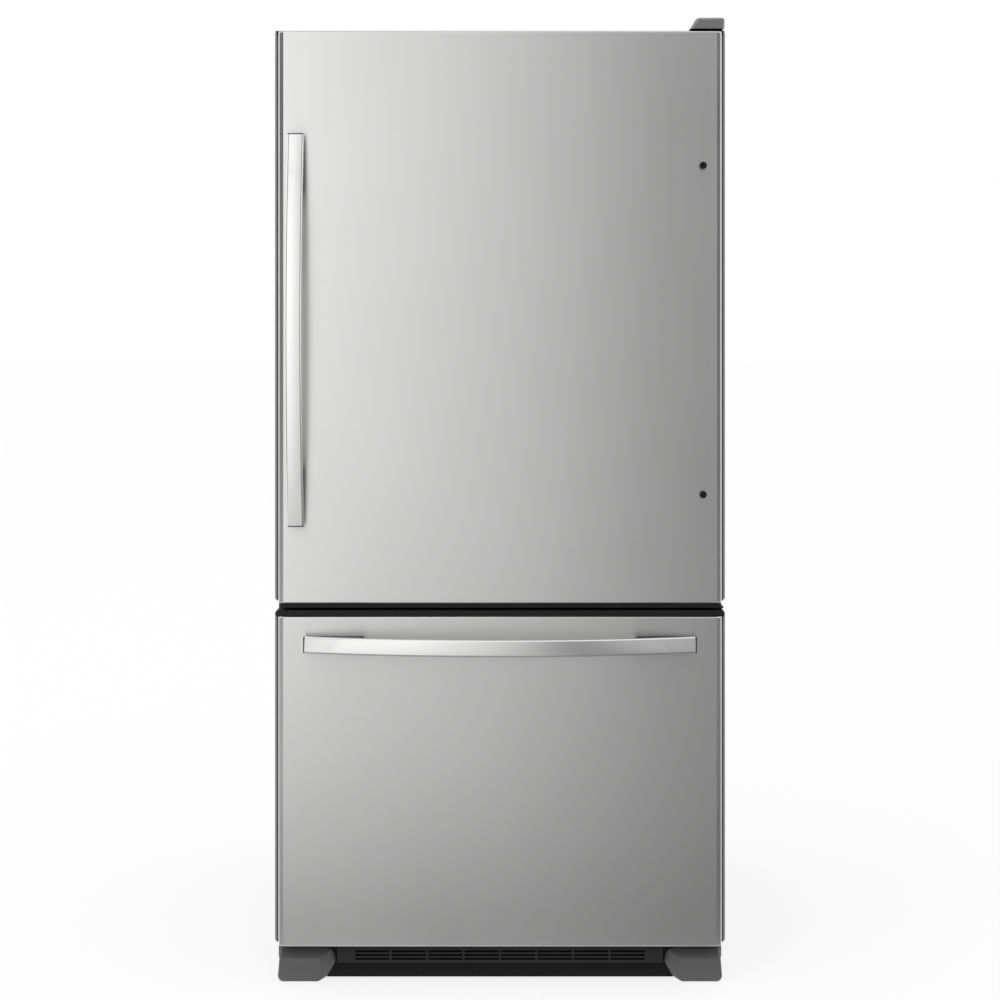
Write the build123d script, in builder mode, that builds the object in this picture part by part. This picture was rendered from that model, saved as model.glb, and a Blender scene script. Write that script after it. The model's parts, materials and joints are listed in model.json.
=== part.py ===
"""Bottom freezer refrigerator: a stainless door over a freezer drawer, in millimetres.

The floor is Z = 0, the front faces -Y, and X = 0 is the middle of the cabinet.
"""

from build123d import *
from dataclasses import dataclass
import os

# ---------------------------------------------------------------- driving sizes
# cabinet
cabinet_width = 829.0
cabinet_depth = 727.0
cabinet_height = 1750.0
shell_gauge = 0.7
shell_bend = 4.0
shell_flange = 30.0
shell_header = 35.0
shell_bottom = 25.0
front_rail_depth = 3.0
rear_gauge = 0.8
rear_margin = 12.0
rear_joint_gap = 2.0
liner_gauge = 1.5
liner_inset = 0.5
liner_lap = 13.0
fit_gap = 0.2
pin_clearance = 0.05
overrun = 1.0

# fresh food compartment
fresh_side_wall = 45.0
fresh_top_wall = 50.0
fresh_back_wall = 60.0
fresh_floor = 735.0
cavity_corner = 20.0

# freezer compartment
freezer_side_wall = 60.0
freezer_floor = 110.0
mullion_height = 85.0
step_wall = 55.0

# machine compartment under the freezer step
machine_depth = 215.0
machine_height = 280.0
base_sheet = 2.0
base_rear_gap = 2.0
foam_floor = 62.0

# rear cover's slots and cord gland
rear_slot_width = 120.0
rear_slot_height = 6.0
rear_slot_spacing = 16.0
rear_column_spacing = 168.0
rear_slot_rise = 160.0
gland_radius = 11.0
gland_bore = 4.4
gland_length = 14.0
gland_inset = 84.5
gland_height = 120.0
rear_screw_radius = 2.0
rear_screw_length = 8.0
rear_screw_inset = 25.0
rear_screw_low_gap = 30.0
rear_screw_high_gap = 40.0

# door and drawer
seal_gap = 10.0
leaf_thickness = 60.0
split_drop = 47.5
hinge_plate = 3.0
hinge_clearance = 1.0
door_cap_low = 9.5
door_cap_high = 2.0
drawer_cap_low = 4.5
drawer_cap_high = 10.5
drawer_bottom = 66.0
skin_inset = 8.0
skin_gauge = 0.8
skin_corner = 7.5
skin_edge = 4.0
skin_hem = 10.0
cap_plug = 12.0
cap_neck = 0.1
foam_cap_gap = 14.0
cap_inset = 10.5
door_cap_high_inset = 2.0
drawer_cap_high_inset = 1.5
drawer_shoulder = 5.0
trim_depth = 43.0
trim_end = 5.5
trim_lip = 14.5
trim_edge = 2.0
liner_plate = 3.0
liner_end_gap = 1.0
sheath_gap = 1.0
seal_clearance = 0.5
gasket_width = 24.0
gasket_inset = 24.5
door_gasket_gap = 12.0
drawer_gasket_low_gap = 10.0
drawer_gasket_high_gap = 8.0
bellows_gap = 3.0
bellows_width = 2.0
bellows_depth = 5.0
dyke_depth = 45.0
dyke_width = 28.0
dyke_far = 73.5
dyke_near = 55.0
dyke_low_gap = 25.0
dyke_high_gap = 10.0
dyke_corner = 6.0
panel_side_gap = 36.5
panel_low_gap = 25.0
panel_high_gap = 40.0
panel_depth = 32.0
panel_corner = 8.0

# hinges
hinge_in = 20.0
hinge_ahead = 25.0
hinge_pin_radius = 5.0
hinge_pin_length = 13.0
hinge_eye_radius = 13.0
top_plate = 3.0
plate_inset = 10.0
plate_width = 50.0
plate_length = 90.0
plate_neck = 8.0
hinge_screw_radius = 5.0
hinge_screw_head = 4.0
hinge_screw_spread = 13.0
hinge_screw_near = 30.0
hinge_screw_far = 70.0
cover_wall = 2.0
cover_width = 67.0
cover_inset = 0.5
cover_height = 21.0
cover_slope = 16.0
cover_corner = 4.0
cover_shoulder_height = 6.0
cover_rise = 4.0
cover_front_gap = 10.0
cover_length = 112.0
cover_edge = 5.0
cover_nose = 6.0
center_flange = 2.0
center_flange_width = 18.5
center_flange_lap = 10.0
center_inset = 1.5
center_arm_width = 14.0
center_arm_radius = 8.0

# handles
handle_length = 711.0
handle_width = 30.5
handle_bar = 11.0
handle_reach = 63.0
handle_bow = 37.0
handle_round = 4.5
handle_cap = 2.0
handle_cap_margin = 1.0
handle_inset = 43.0
handle_rise = 512.5
drawer_handle_drop = 60.0
foot_length = 104.0
foot_inset = 54.5
foot_width = 24.0
foot_radius = 4.0
foot_play = 0.05
foot_socket = 0.5
stud_radius = 6.5
stud_stand = 7.0
stud_screw = 4.0
stud_depth = 14.0
stud_end_gap = 1.0
stud_key_radius = 2.9
stud_key_depth = 3.0

# base
grille_inset = 114.5
grille_top = 62.0
grille_height = 32.0
grille_sheet = 4.0
grille_edge = 1.2
grille_recess = 22.0
grille_return = 2.5
grille_lip = 3.0
grille_lip_depth = 12.0
skirt_low = 8.0
slot_height = 3.7
slot_spacing = 7.0
slot_margin = 32.8
slot_rib = 4.0
slot_drop = 15.0
slot_bays = 8
slot_rows = 3
leg_inset = 49.5
leg_depth = 32.0
leg_foot_radius = 19.0
leg_foot_height = 10.0
leg_foot_chamfer = 2.0
leg_stem_radius = 5.0
leg_stem_play = 0.1
leg_nut_radius = 10.0
leg_nut_height = 8.0
leg_boss_height = 10.0
leg_boss_wall = 6.0
leg_boss_floor = 1.0
leg_end_gap = 1.0
boot_depth = 55.0
boot_recess = 12.0
boot_wall = 3.0
boot_low = 2.0
boot_lip = 4.0
boot_top_inset = 7.5
boot_side_inset = 3.5
boot_sole_inset = 12.0
boot_sole_width = 74.0
boot_heel_inset = 95.0
boot_heel_height = 6.0
boot_knee_height = 30.0
boot_inner_inset = 112.0
boot_step_inset = 60.0
boot_round = 5.0
boot_edge = 2.5
boot_hollow_inset = 14.0
boot_hollow_width = 70.0
roller_radius = 25.0
roller_width = 22.0
roller_tread = 2.0
roller_side_inset = 42.5
roller_rear_inset = 50.0
roller_room = 12.0
axle_radius = 4.0
axle_end = 2.0
side_play = 2.0
fork_gauge = 2.0
fork_length = 44.0
fork_drop = 10.0

# fresh food fittings
shelf_rise = 185.0
shelf_spacing = 170.0
shelf_headroom = 200.0
shelf_frame = 14.0
shelf_glass_thickness = 4.0
shelf_glass_seat = 6.0
shelf_rim = 12.0
shelf_front_gap = 147.0
shelf_rear_gap = 5.0
shelf_side_gap = 24.0
track_inset = 119.5
track_width = 20.0
track_depth = 4.0
track_below = 100.0
track_above = 160.0
arm_width = 4.0
arm_height = 18.0
arm_front_gap = 2.0
knee_height = 22.0
knee_length = 60.0
duct_width = 140.0
duct_depth = 20.0
duct_wall = 3.0
duct_corner = 8.0
duct_lift = 40.0
duct_drop = 10.0
vent_spacing = 90.0
vent_height = 8.0
vent_rise = 110.0
vent_margin = 15.0
vent_headroom = 60.0
crisper_wall = 2.5
crisper_height = 183.0
crisper_front_gap = 90.0
crisper_rear_gap = 70.0
crisper_middle = 8.0
crisper_side = 12.5
crisper_lift = 0.5
crisper_corner = 8.0
crisper_bottom_radius = 4.0
crisper_cover_rise = 200.0
crisper_cover_thickness = 20.0
crisper_cover_recess = 7.0
crisper_cover_rim = 20.0
crisper_cover_side = 25.0
crisper_glass_seat = 12.0
pull_width = 180.0
pull_depth = 14.0
pull_drop = 45.0
pull_thickness = 4.0
window_drop = 26.0
slider_width = 24.0
slider_height = 8.0
slider_travel = 30.0
slider_play = 0.4
slider_proud = 4.0
slider_seat = 2.0
slider_edge = 1.5
housing_width = 300.0
housing_height = 45.0
housing_front_gap = 137.0
housing_length = 220.0
housing_wall = 2.5
housing_edge = 4.0
knob_radius = 18.0
knob_depth = 14.0
knob_gap = 0.4
knob_edge = 1.5
knob_spread = 55.0
knob_bar_width = 6.0
knob_bar_inset = 3.0
knob_bore_end = 1.5
spindle_radius = 3.0
spindle_end = 2.0
lamp_width = 120.0
lamp_length = 90.0
lamp_depth = 8.0
lamp_inset = 60.0
lamp_gap = 0.3
lamp_edge = 2.0
plunger_radius = 4.0
plunger_play = 0.35
plunger_depth = 12.0
plunger_gap = 0.5
plunger_edge = 1.5
switch_offset = 185.0
switch_drop = 17.0
switch_box = 16.0
switch_length = 26.0
switch_bore = 20.0
switch_gap = 7.0

# door bins
bin_wall = 3.0
bin_depth = 119.0
bin_height = 90.0
bin_rise = 200.0
bin_spacing = 185.0
bin_headroom = 190.0
bin_gap = 10.0
dairy_drop = 160.0
dairy_tall = 110.0
dairy_lip = 32.0
dairy_front_wall = 11.0
dairy_mouth_depth = 16.0
lid_pin_radius = 2.5
lid_pin_gap = 0.5
lid_pin_margin = 1.0
lid_side_gap = 0.5
lid_low_gap = 1.0
lid_axis_depth = 5.0
lid_axis_drop = 6.0
lid_thickness = 3.0

# freezer fittings
slide_rise = 195.0
slide_height = 40.0
slide_member = 6.5
slide_gap = 0.5
slide_front_gap = 12.0
slide_rear_gap = 10.0
middle_slide_height = 30.0
drawer_slide_height = 24.0
drawer_slide_short = 5.0
bracket_gap = 1.0
bracket_gauge = 3.0
bracket_height = 80.0
basket_wall = 3.0
basket_lift = 15.0
basket_rim = 12.0
basket_side = 26.5
basket_front = 42.0
basket_rear_gap = 20.0
basket_slot_spacing = 24.0
basket_slot_width = 12.0
basket_slot_height = 130.0
basket_slot_drop = 12.0
basket_slot_margin = 40.0
upper_basket_drop = 230.0
upper_basket_height = 150.0
upper_basket_flange = 4.0
upper_basket_lap = 1.0
upper_basket_front = 47.0
upper_basket_rear_gap = 15.0
upper_basket_side = 3.5
upper_basket_play = 4.5
upper_slot_margin = 60.0
ledge_width = 16.5
ledge_height = 7.5
ledge_rear_gap = 5.0

# refrigeration
evaporator_gap = 85.0
evaporator_cover_gap = 1.0
cover_sheet = 4.0
coil_side_gap = 124.5
coil_front_gap = 20.0
coil_depth = 50.0
coil_lift = 10.0
coil_height = 180.0
fin_thickness = 1.0
fin_margin = 15.0
fin_count = 30
tube_radius = 4.0
tube_inset = 14.0
tube_margin = 20.0
tube_rows = 5
coil_plate = 2.0
coil_plate_drop = 4.0
fan_rise = 60.0
evaporator_fan_radius = 48.0
fan_shroud_gap = 5.0
guard_spacing = 24.0
guard_width = 4.0
guard_lap = 0.5
blade_radius_gap = 4.0
evaporator_hub_radius = 14.0
evaporator_hub_length = 12.0
evaporator_blade_angle = 16.0
evaporator_blade_gap = 13.0
blade_thickness = 2.0
blade_root = 2.0
blade_count = 5
motor_radius = 28.0
motor_length = 30.0
motor_gap = 8.0
motor_bracket = 16.0
shaft_radius = 3.0
shaft_end = 5.0
condenser_fan_radius = 75.0
condenser_fan_rise = 123.0
condenser_hub_radius = 18.0
condenser_hub_length = 14.0
condenser_blade_angle = 20.0
condenser_motor_gap = 18.0
condenser_shaft_end = 6.0
pedestal_gap = 6.0
pedestal_thickness = 6.0
pedestal_width = 40.0
compressor_inset = 174.5
compressor_radius = 88.0
compressor_squash = 13.2
compressor_height = 185.0
compressor_dome = 35.0
mount_spread = 70.0
mount_margin = 15.0
mount_corner = 12.0
mount_radius = 10.0
mount_height = 20.0
mount_plate = 4.0
pan_inset = 84.5
pan_length = 240.0
pan_height = 32.0
pan_wall = 2.0
pan_front_gap = 12.0
pan_rear_gap = 14.0
pan_fan_gap = 60.0
condenser_margin = 20.0
condenser_rear_margin = 24.0
condenser_plate = 2.0
condenser_top_gap = 30.0
condenser_tube_radius = 3.0
condenser_tube_rise = 40.0
condenser_tube_side = 15.0
condenser_tube_drop = 20.0
condenser_tube_end = 8.0
condenser_columns = 6

# ---------------------------------------------------------------- places worked out from them
half = cabinet_width / 2
inside_half = half - shell_gauge - fit_gap
y_back = (cabinet_depth + seal_gap + leaf_thickness + handle_reach) / 2
y_cabinet = y_back - cabinet_depth
y_leaf_back = y_cabinet - seal_gap
y_leaf = y_leaf_back - leaf_thickness
y_handle = y_leaf - handle_reach
y_foam = y_cabinet + front_rail_depth + fit_gap
y_machine = y_back - machine_depth
flange_in = half - shell_flange
liner_half = flange_in - liner_inset

fresh_half = half - fresh_side_wall
fresh_top = cabinet_height - fresh_top_wall
fresh_back = y_back - fresh_back_wall
freezer_half = half - freezer_side_wall
freezer_ceiling = fresh_floor - mullion_height
freezer_low_back = y_machine - step_wall
step_height = machine_height + step_wall

split_height = fresh_floor - split_drop
plate_low = split_height - hinge_plate / 2
plate_high = split_height + hinge_plate / 2
door_bottom = plate_high + hinge_clearance
door_top = cabinet_height - hinge_clearance / 2
drawer_top = plate_low - hinge_clearance
hinge_x = half - hinge_in
hinge_y = y_leaf_back - hinge_ahead
skin_half = half - skin_inset
foam_skin = skin_gauge + fit_gap / 2
y_sheath = y_leaf_back - liner_plate - sheath_gap
y_dyke = y_leaf_back + dyke_depth
dyke_x = (-half + dyke_far, half - dyke_near)
dyke_z = (fresh_floor + dyke_low_gap, fresh_top - dyke_high_gap)

door_handle_x = half - handle_inset
door_handle_z = split_height + handle_rise
drawer_handle_z = split_height - drawer_handle_drop
foot_centre = handle_length / 2 - foot_inset

leg_x = half - leg_inset
y_leg = y_cabinet + leg_depth
roller_x = half - roller_side_inset
y_roller = y_back - roller_rear_inset
base_top = shell_bottom + base_sheet
rear_screw_low = machine_height + rear_screw_low_gap
rear_screw_rows = 4
rear_screw_spacing = (cabinet_height - rear_screw_low - rear_screw_high_gap) / (rear_screw_rows - 1)

crisper_cover_height = fresh_floor + crisper_cover_rise
y_shelf = y_cabinet + shelf_front_gap
y_crisper = y_cabinet + crisper_front_gap
y_housing = y_cabinet + housing_front_gap
shelf_half = fresh_half - shelf_side_gap
shelf_low = crisper_cover_height + shelf_rise
shelf_count = int((fresh_top - shelf_headroom - shelf_low) // shelf_spacing) + 1
shelf_heights = [shelf_low + shelf * shelf_spacing for shelf in range(shelf_count)]
track_x = fresh_half - track_inset

dairy_low = dyke_z[1] - dairy_drop
bin_low = dyke_z[0] + bin_rise
bin_count = int((dairy_low - bin_headroom - bin_low) // bin_spacing) + 1
bin_heights = [bin_low + row * bin_spacing for row in range(bin_count)]

y_slide = y_cabinet + slide_front_gap
slide_z = freezer_floor + slide_rise
basket_half = freezer_half - basket_side
basket_floor = freezer_floor + basket_lift
upper_basket_floor = freezer_ceiling - upper_basket_drop
y_evaporator_cover = fresh_back - evaporator_gap
coil_half = freezer_half - coil_side_gap
coil_low = step_height + coil_lift
fan_z = coil_low + coil_height + fan_rise
condenser_fan_z = base_top + condenser_fan_rise
compressor_x = half - compressor_inset
pan_x = (half - pan_inset - pan_length, half - pan_inset)
fan_x = pan_x[0] - pan_fan_gap
y_fan = y_machine + machine_depth / 2

os.makedirs("parts", exist_ok=True)


def keep(builder, name):
    """Names a finished piece and writes it."""
    builder.part.label = name
    export_step(builder.part, f"parts/{name}.step")


def slab(x, y, z, mode=Mode.ADD):
    """A box between two corners, each given as (low, high)."""
    middle = ((x[0] + x[1]) / 2, (y[0] + y[1]) / 2, (z[0] + z[1]) / 2)
    with Locations(middle):
        Box(x[1] - x[0], y[1] - y[0], z[1] - z[0], mode=mode)


def both_sides(inner, outer):
    """The two X ranges that lie between inner and outer, left and right."""
    return ((-outer, -inner), (inner, outer))


def shrunk(span, amount):
    """A range drawn in by amount at both ends."""
    return (span[0] + amount, span[1] - amount)


def rod(x, y, z, radius, axis, mode=Mode.ADD):
    """A cylinder along one axis; the range given for that axis is its length."""
    turn = {"X": (0, 90, 0), "Y": (90, 0, 0), "Z": (0, 0, 0)}[axis]
    ends = {"X": x, "Y": y, "Z": z}[axis]
    mid = (ends[0] + ends[1]) / 2
    place = {"X": (mid, y, z), "Y": (x, mid, z), "Z": (x, y, mid)}[axis]
    with Locations(place):
        Cylinder(radius, ends[1] - ends[0], rotation=turn, mode=mode)


def tray(x, y, z, wall, mode=Mode.ADD):
    """An open-topped pan of even wall."""
    slab(x, y, z, mode)
    slab(
        (x[0] + wall, x[1] - wall),
        (y[0] + wall, y[1] - wall),
        (z[0] + wall, z[1] + overrun),
        Mode.SUBTRACT,
    )


# ---------------------------------------------------------------- cabinet shell and covers
with BuildPart() as cabinet_shell:
    slab((-half, half), (y_cabinet, y_back - rear_gauge), (shell_bottom, cabinet_height))
    fillet(
        cabinet_shell.edges().filter_by(Axis.Y).group_by(Axis.Z)[-1], radius=shell_bend
    )
    inner = half - shell_gauge
    slab(
        (-inner, inner),
        (y_cabinet + shell_gauge, y_back),
        (0, cabinet_height - shell_gauge),
        Mode.SUBTRACT,
    )
    slab(
        (-flange_in, flange_in),
        (y_cabinet, y_cabinet + shell_gauge),
        (0, cabinet_height - shell_header),
        Mode.SUBTRACT,
    )
keep(cabinet_shell, "cabinet_shell")

with BuildPart() as rear_covers:
    slab(
        (-inside_half, inside_half),
        (y_back - rear_gauge, y_back),
        (machine_height + base_sheet + rear_joint_gap, cabinet_height - shell_gauge - fit_gap),
    )
    slab(
        (-half + rear_margin, half - rear_margin),
        (y_back - rear_gauge, y_back),
        (shell_bottom + rear_margin, machine_height),
    )
    with Locations((0, y_back, rear_slot_rise)):
        with GridLocations(rear_column_spacing, 1, 4, 1):
            for row in range(6):
                slot_z = (row - 2.5) * rear_slot_spacing
                with Locations((0, 0, slot_z)):
                    Box(rear_slot_width, 4 * rear_gauge, rear_slot_height, mode=Mode.SUBTRACT)
    gland_y = (y_back - gland_length, y_back)
    rod(-half + gland_inset, gland_y, gland_height, gland_radius, "Y")
    rod(-half + gland_inset, gland_y, gland_height, gland_bore, "Y", Mode.SUBTRACT)
keep(rear_covers, "rear_covers")


# ---------------------------------------------------------------- cavities, foam and liners
def fresh_space(grow):
    """The fresh food cavity, grown by a wall, open through the cabinet's front."""
    with BuildPart() as space:
        slab(
            (-fresh_half - grow, fresh_half + grow),
            (y_cabinet - overrun, fresh_back + grow),
            (fresh_floor - grow, fresh_top + grow),
        )
        fillet(
            space.edges().filter_by(Axis.Z).group_by(Axis.Y)[-1],
            radius=cavity_corner + grow,
        )
    return space.part


def freezer_space(grow):
    """The freezer cavity with its step over the machine compartment."""
    with BuildPart() as space:
        slab(
            (-freezer_half - grow, freezer_half + grow),
            (y_cabinet - overrun, freezer_low_back + grow),
            (freezer_floor - grow, freezer_ceiling + grow),
        )
        slab(
            (-freezer_half - grow, freezer_half + grow),
            (y_cabinet - overrun, fresh_back + grow),
            (step_height - grow, freezer_ceiling + grow),
        )
    return space.part


liner_out = liner_gauge + fit_gap


def rear_screw_holes(radius, length, mode):
    """The screws of the rear panel, or the pilot holes that they go into."""
    for screw_x in (-half + rear_screw_inset, half - rear_screw_inset):
        for row in range(rear_screw_rows):
            screw_z = rear_screw_low + row * rear_screw_spacing
            ends = (y_back - rear_gauge - length, y_back - rear_gauge)
            rod(screw_x, ends, screw_z, radius, "Y", mode)


with BuildPart() as foam_insulation:
    slab(
        (-inside_half, inside_half),
        (y_foam, y_back - rear_gauge - fit_gap),
        (foam_floor, cabinet_height - shell_gauge - fit_gap),
    )
    fillet(
        foam_insulation.edges().filter_by(Axis.Y).group_by(Axis.Z)[-1],
        radius=shell_bend,
    )
    add(fresh_space(liner_out), mode=Mode.SUBTRACT)
    add(freezer_space(liner_out), mode=Mode.SUBTRACT)
    slab(
        (-half, half),
        (y_machine - base_sheet, y_back),
        (0, machine_height + base_sheet),
        Mode.SUBTRACT,
    )
    rear_screw_holes(
        rear_screw_radius + pin_clearance, rear_screw_length + overrun, Mode.SUBTRACT
    )
keep(foam_insulation, "foam_insulation")

with BuildPart() as fresh_food_liner:
    slab(
        (-liner_half, liner_half),
        (y_cabinet, y_cabinet + liner_gauge),
        (fresh_floor - liner_gauge, fresh_top + liner_gauge + liner_lap),
    )
    add(fresh_space(liner_gauge))
    slab((-half, half), (y_cabinet - 2 * overrun, y_cabinet), (0, cabinet_height), Mode.SUBTRACT)
    add(fresh_space(0), mode=Mode.SUBTRACT)
keep(fresh_food_liner, "fresh_food_liner")

with BuildPart() as freezer_liner:
    slab(
        (-liner_half, liner_half),
        (y_cabinet, y_cabinet + liner_gauge),
        (freezer_floor - liner_gauge, freezer_ceiling + liner_gauge),
    )
    add(freezer_space(liner_gauge))
    slab((-half, half), (y_cabinet - 2 * overrun, y_cabinet), (0, cabinet_height), Mode.SUBTRACT)
    add(freezer_space(0), mode=Mode.SUBTRACT)
keep(freezer_liner, "freezer_liner")

with BuildPart() as mullion_rail:
    slab(
        (-liner_half, liner_half),
        (y_cabinet, y_cabinet + front_rail_depth),
        (freezer_ceiling + liner_gauge + fit_gap, fresh_floor - liner_gauge - fit_gap),
    )
keep(mullion_rail, "mullion_rail")


# ---------------------------------------------------------------- base
bracket_top = foam_floor - base_sheet
base_end = y_back - base_rear_gap
pan_half = roller_x - roller_width / 2 - roller_room - side_play
side_in = inside_half - base_sheet - fit_gap
with BuildPart() as base_frame:
    # floor sheet, bored for the legs, and the bosses welded under it
    slab((-side_in, side_in), (y_foam, y_machine - base_sheet - fit_gap), (bracket_top, foam_floor))
    for leg in (-leg_x, leg_x):
        boss_z = (foam_floor - leg_boss_height, bracket_top - fit_gap)
        rod(leg, y_leg, boss_z, leg_stem_radius + leg_boss_wall, "Z")
        bore_z = (0, foam_floor - leg_boss_floor)
        rod(leg, y_leg, bore_z, leg_stem_radius + leg_stem_play, "Z", Mode.SUBTRACT)
    # side channels and the machine compartment's side walls
    for side in both_sides(inside_half - base_sheet, inside_half):
        slab(side, (y_foam, base_end), (shell_bottom, foam_floor))
        slab(side, (y_machine, base_end), (foam_floor + fit_gap, machine_height))
    # machine compartment: front wall, its skirt, roof and pan
    wall_y = (y_machine - base_sheet, y_machine)
    slab((-side_in, side_in), wall_y, (bracket_top, machine_height + base_sheet))
    skirt_z = (base_top + fit_gap, bracket_top - fit_gap)
    slab((-pan_half, pan_half), wall_y, skirt_z)
    slab(
        (-inside_half, inside_half),
        (y_machine + fit_gap, base_end),
        (machine_height + fit_gap, machine_height + base_sheet),
    )
    slab((-pan_half, pan_half), (wall_y[0], base_end), (shell_bottom, base_top))
    # front rail
    slab(
        (-liner_half, liner_half),
        (y_cabinet, y_foam - fit_gap),
        (shell_bottom, freezer_floor - liner_gauge - fit_gap),
    )
keep(base_frame, "base_frame")

leg_stem_top = foam_floor - leg_boss_floor - leg_end_gap
with BuildPart() as leveling_legs:
    for leg in (-leg_x, leg_x):
        rod(leg, y_leg, (0, leg_foot_height), leg_foot_radius, "Z")
        rod(leg, y_leg, (leg_foot_height, leg_stem_top), leg_stem_radius, "Z")
    chamfer(
        leveling_legs.edges().filter_by(GeomType.CIRCLE).group_by(SortBy.RADIUS)[-1],
        length=leg_foot_chamfer,
    )
    with BuildSketch(Plane.XY.offset(leg_foot_height)):
        with Locations((-leg_x, y_leg), (leg_x, y_leg)):
            RegularPolygon(radius=leg_nut_radius, side_count=6)
    extrude(amount=leg_nut_height)
keep(leveling_legs, "leveling_legs")

y_boot = y_leaf + boot_recess
boot_outline = (
    (half - boot_top_inset, grille_top + boot_lip),
    (half - boot_side_inset, boot_low + boot_heel_height),
    (half - boot_sole_inset, boot_low),
    (half - boot_sole_inset - boot_sole_width, boot_low),
    (half - boot_heel_inset, boot_low + boot_heel_height),
    (half - boot_inner_inset, boot_low + boot_knee_height),
    (half - boot_inner_inset, grille_top),
    (half - boot_step_inset, grille_top + boot_lip),
)


def boot():
    """The moulded cover in front of the right-hand levelling leg, open at the back."""
    with BuildPart() as cover:
        with BuildSketch(Plane.XZ.offset(-y_boot - boot_depth)):
            with BuildLine():
                Polyline(*boot_outline, close=True)
            make_face()
        extrude(amount=boot_depth)
        low_corners = (
            cover.edges()
            .filter_by(Axis.Y)
            .filter_by(lambda e: e.center().Z < grille_top - boot_round)
        )
        fillet(low_corners, radius=boot_round)
        fillet(cover.edges().group_by(Axis.Y)[0], radius=boot_edge)
        slab(
            (half - boot_hollow_inset - boot_hollow_width, half - boot_hollow_inset),
            (y_boot + boot_wall, y_boot + boot_depth),
            (0, grille_top - boot_wall),
            Mode.SUBTRACT,
        )
    return cover.part


grille_half = half - grille_inset
grille_x = (-grille_half, grille_half)
grille_low = grille_top - grille_height
y_grille = y_leaf + grille_recess
slot_bay = (2 * (grille_half - slot_margin) + slot_rib) / slot_bays
with BuildPart() as base_grille:
    slab(grille_x, (y_grille, y_grille + grille_sheet), (grille_low, grille_top))
    fillet(base_grille.edges().filter_by(Axis.X).group_by(Axis.Y)[0], radius=grille_edge)
    slab(
        grille_x,
        (y_grille + grille_sheet, y_cabinet - overrun),
        (grille_top - grille_return, grille_top),
    )
    slab(
        grille_x,
        (y_grille + grille_sheet, y_grille + grille_lip_depth),
        (grille_low, grille_low + grille_lip),
    )
    slab(
        grille_x,
        (y_grille + grille_lip_depth - grille_lip, y_grille + grille_lip_depth),
        (skirt_low, grille_low + grille_lip),
    )
    with Locations((0, y_grille, grille_top - slot_drop)):
        for row in range(slot_rows):
            slot_z = (row - (slot_rows - 1) / 2) * slot_spacing
            for bay in range(slot_bays):
                slot_x = (bay - (slot_bays - 1) / 2) * slot_bay
                with Locations((slot_x, 0, slot_z)):
                    Box(slot_bay - slot_rib, 3 * grille_sheet, slot_height, mode=Mode.SUBTRACT)
    right_boot = boot()
    add(right_boot)
    add(right_boot.mirror(Plane.YZ))
keep(base_grille, "base_grille")

fork_in = roller_x - roller_width / 2 - side_play
fork_out = roller_x + roller_width / 2 + side_play
fork_y = (y_roller - fork_length / 2, y_roller + fork_length / 2)
with BuildPart() as roller_brackets:
    for sign in (-1, 1):
        for face in (fork_in - fork_gauge, fork_out):
            plate = sorted((sign * face, sign * (face + fork_gauge)))
            slab(plate, fork_y, (roller_radius - fork_drop, bracket_top))
        top = sorted((sign * (fork_in - fork_gauge), sign * (inside_half - base_sheet)))
        slab(top, fork_y, (bracket_top, bracket_top + fork_gauge))
        axle_low = fork_in - fork_gauge - axle_end
        axle_high = fork_out + fork_gauge + axle_end
        ends = sorted((sign * axle_low, sign * axle_high))
        rod(ends, y_roller, roller_radius, axle_radius, "X")
keep(roller_brackets, "roller_brackets")


def roller(sign):
    """One rear roller with its crowned tread."""
    with BuildPart() as wheel:
        width = (
            sign * roller_x - roller_width / 2,
            sign * roller_x + roller_width / 2,
        )
        rod(width, y_roller, roller_radius, roller_radius, "X")
        fillet(wheel.edges().filter_by(GeomType.CIRCLE), radius=roller_tread)
        rod(width, y_roller, roller_radius, axle_radius + pin_clearance, "X", Mode.SUBTRACT)
    return wheel


keep(roller(-1), "roller_left")
keep(roller(1), "roller_right")

# ---------------------------------------------------------------- hinges
plate_out = half - plate_inset
plate_in = plate_out - plate_width
with BuildPart() as top_hinge:
    with BuildSketch(Plane.XY.offset(cabinet_height)):
        with BuildLine():
            Polyline(
                (plate_in, y_cabinet + plate_length),
                (plate_out, y_cabinet + plate_length),
                (plate_out, y_cabinet + plate_neck),
                (hinge_x + hinge_eye_radius, hinge_y),
                (hinge_x - hinge_eye_radius, hinge_y),
                (plate_in, y_cabinet + plate_neck),
                close=True,
            )
        make_face()
        with Locations((hinge_x, hinge_y)):
            Circle(hinge_eye_radius)
    extrude(amount=top_plate)
    pin_z = (cabinet_height - hinge_pin_length, cabinet_height + overrun)
    rod(hinge_x, hinge_y, pin_z, hinge_pin_radius, "Z")
keep(top_hinge, "top_hinge")

cover_right = half - cover_inset
cover_left = cover_right - cover_width
cover_front = y_leaf + cover_front_gap
cover_back = y_cabinet + cover_length
cover_top = cabinet_height + cover_rise + cover_height
cover_shoulder = cabinet_height + cover_rise + cover_shoulder_height


def cover_block(inset, base):
    """The cover's sloped profile drawn in by inset, from its front to its back."""
    with BuildPart() as block:
        with BuildSketch(Plane.XZ.offset(inset - cover_back)):
            with BuildLine():
                Polyline(
                    (cover_left + inset, base),
                    (cover_left + cover_slope + inset, cover_top - inset),
                    (cover_right - cover_corner - inset / 2, cover_top - inset),
                    (cover_right - inset, cover_shoulder),
                    (cover_right - inset, base),
                    close=True,
                )
            make_face()
        extrude(amount=cover_back - cover_front - 2 * inset)
    return block.part


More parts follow.
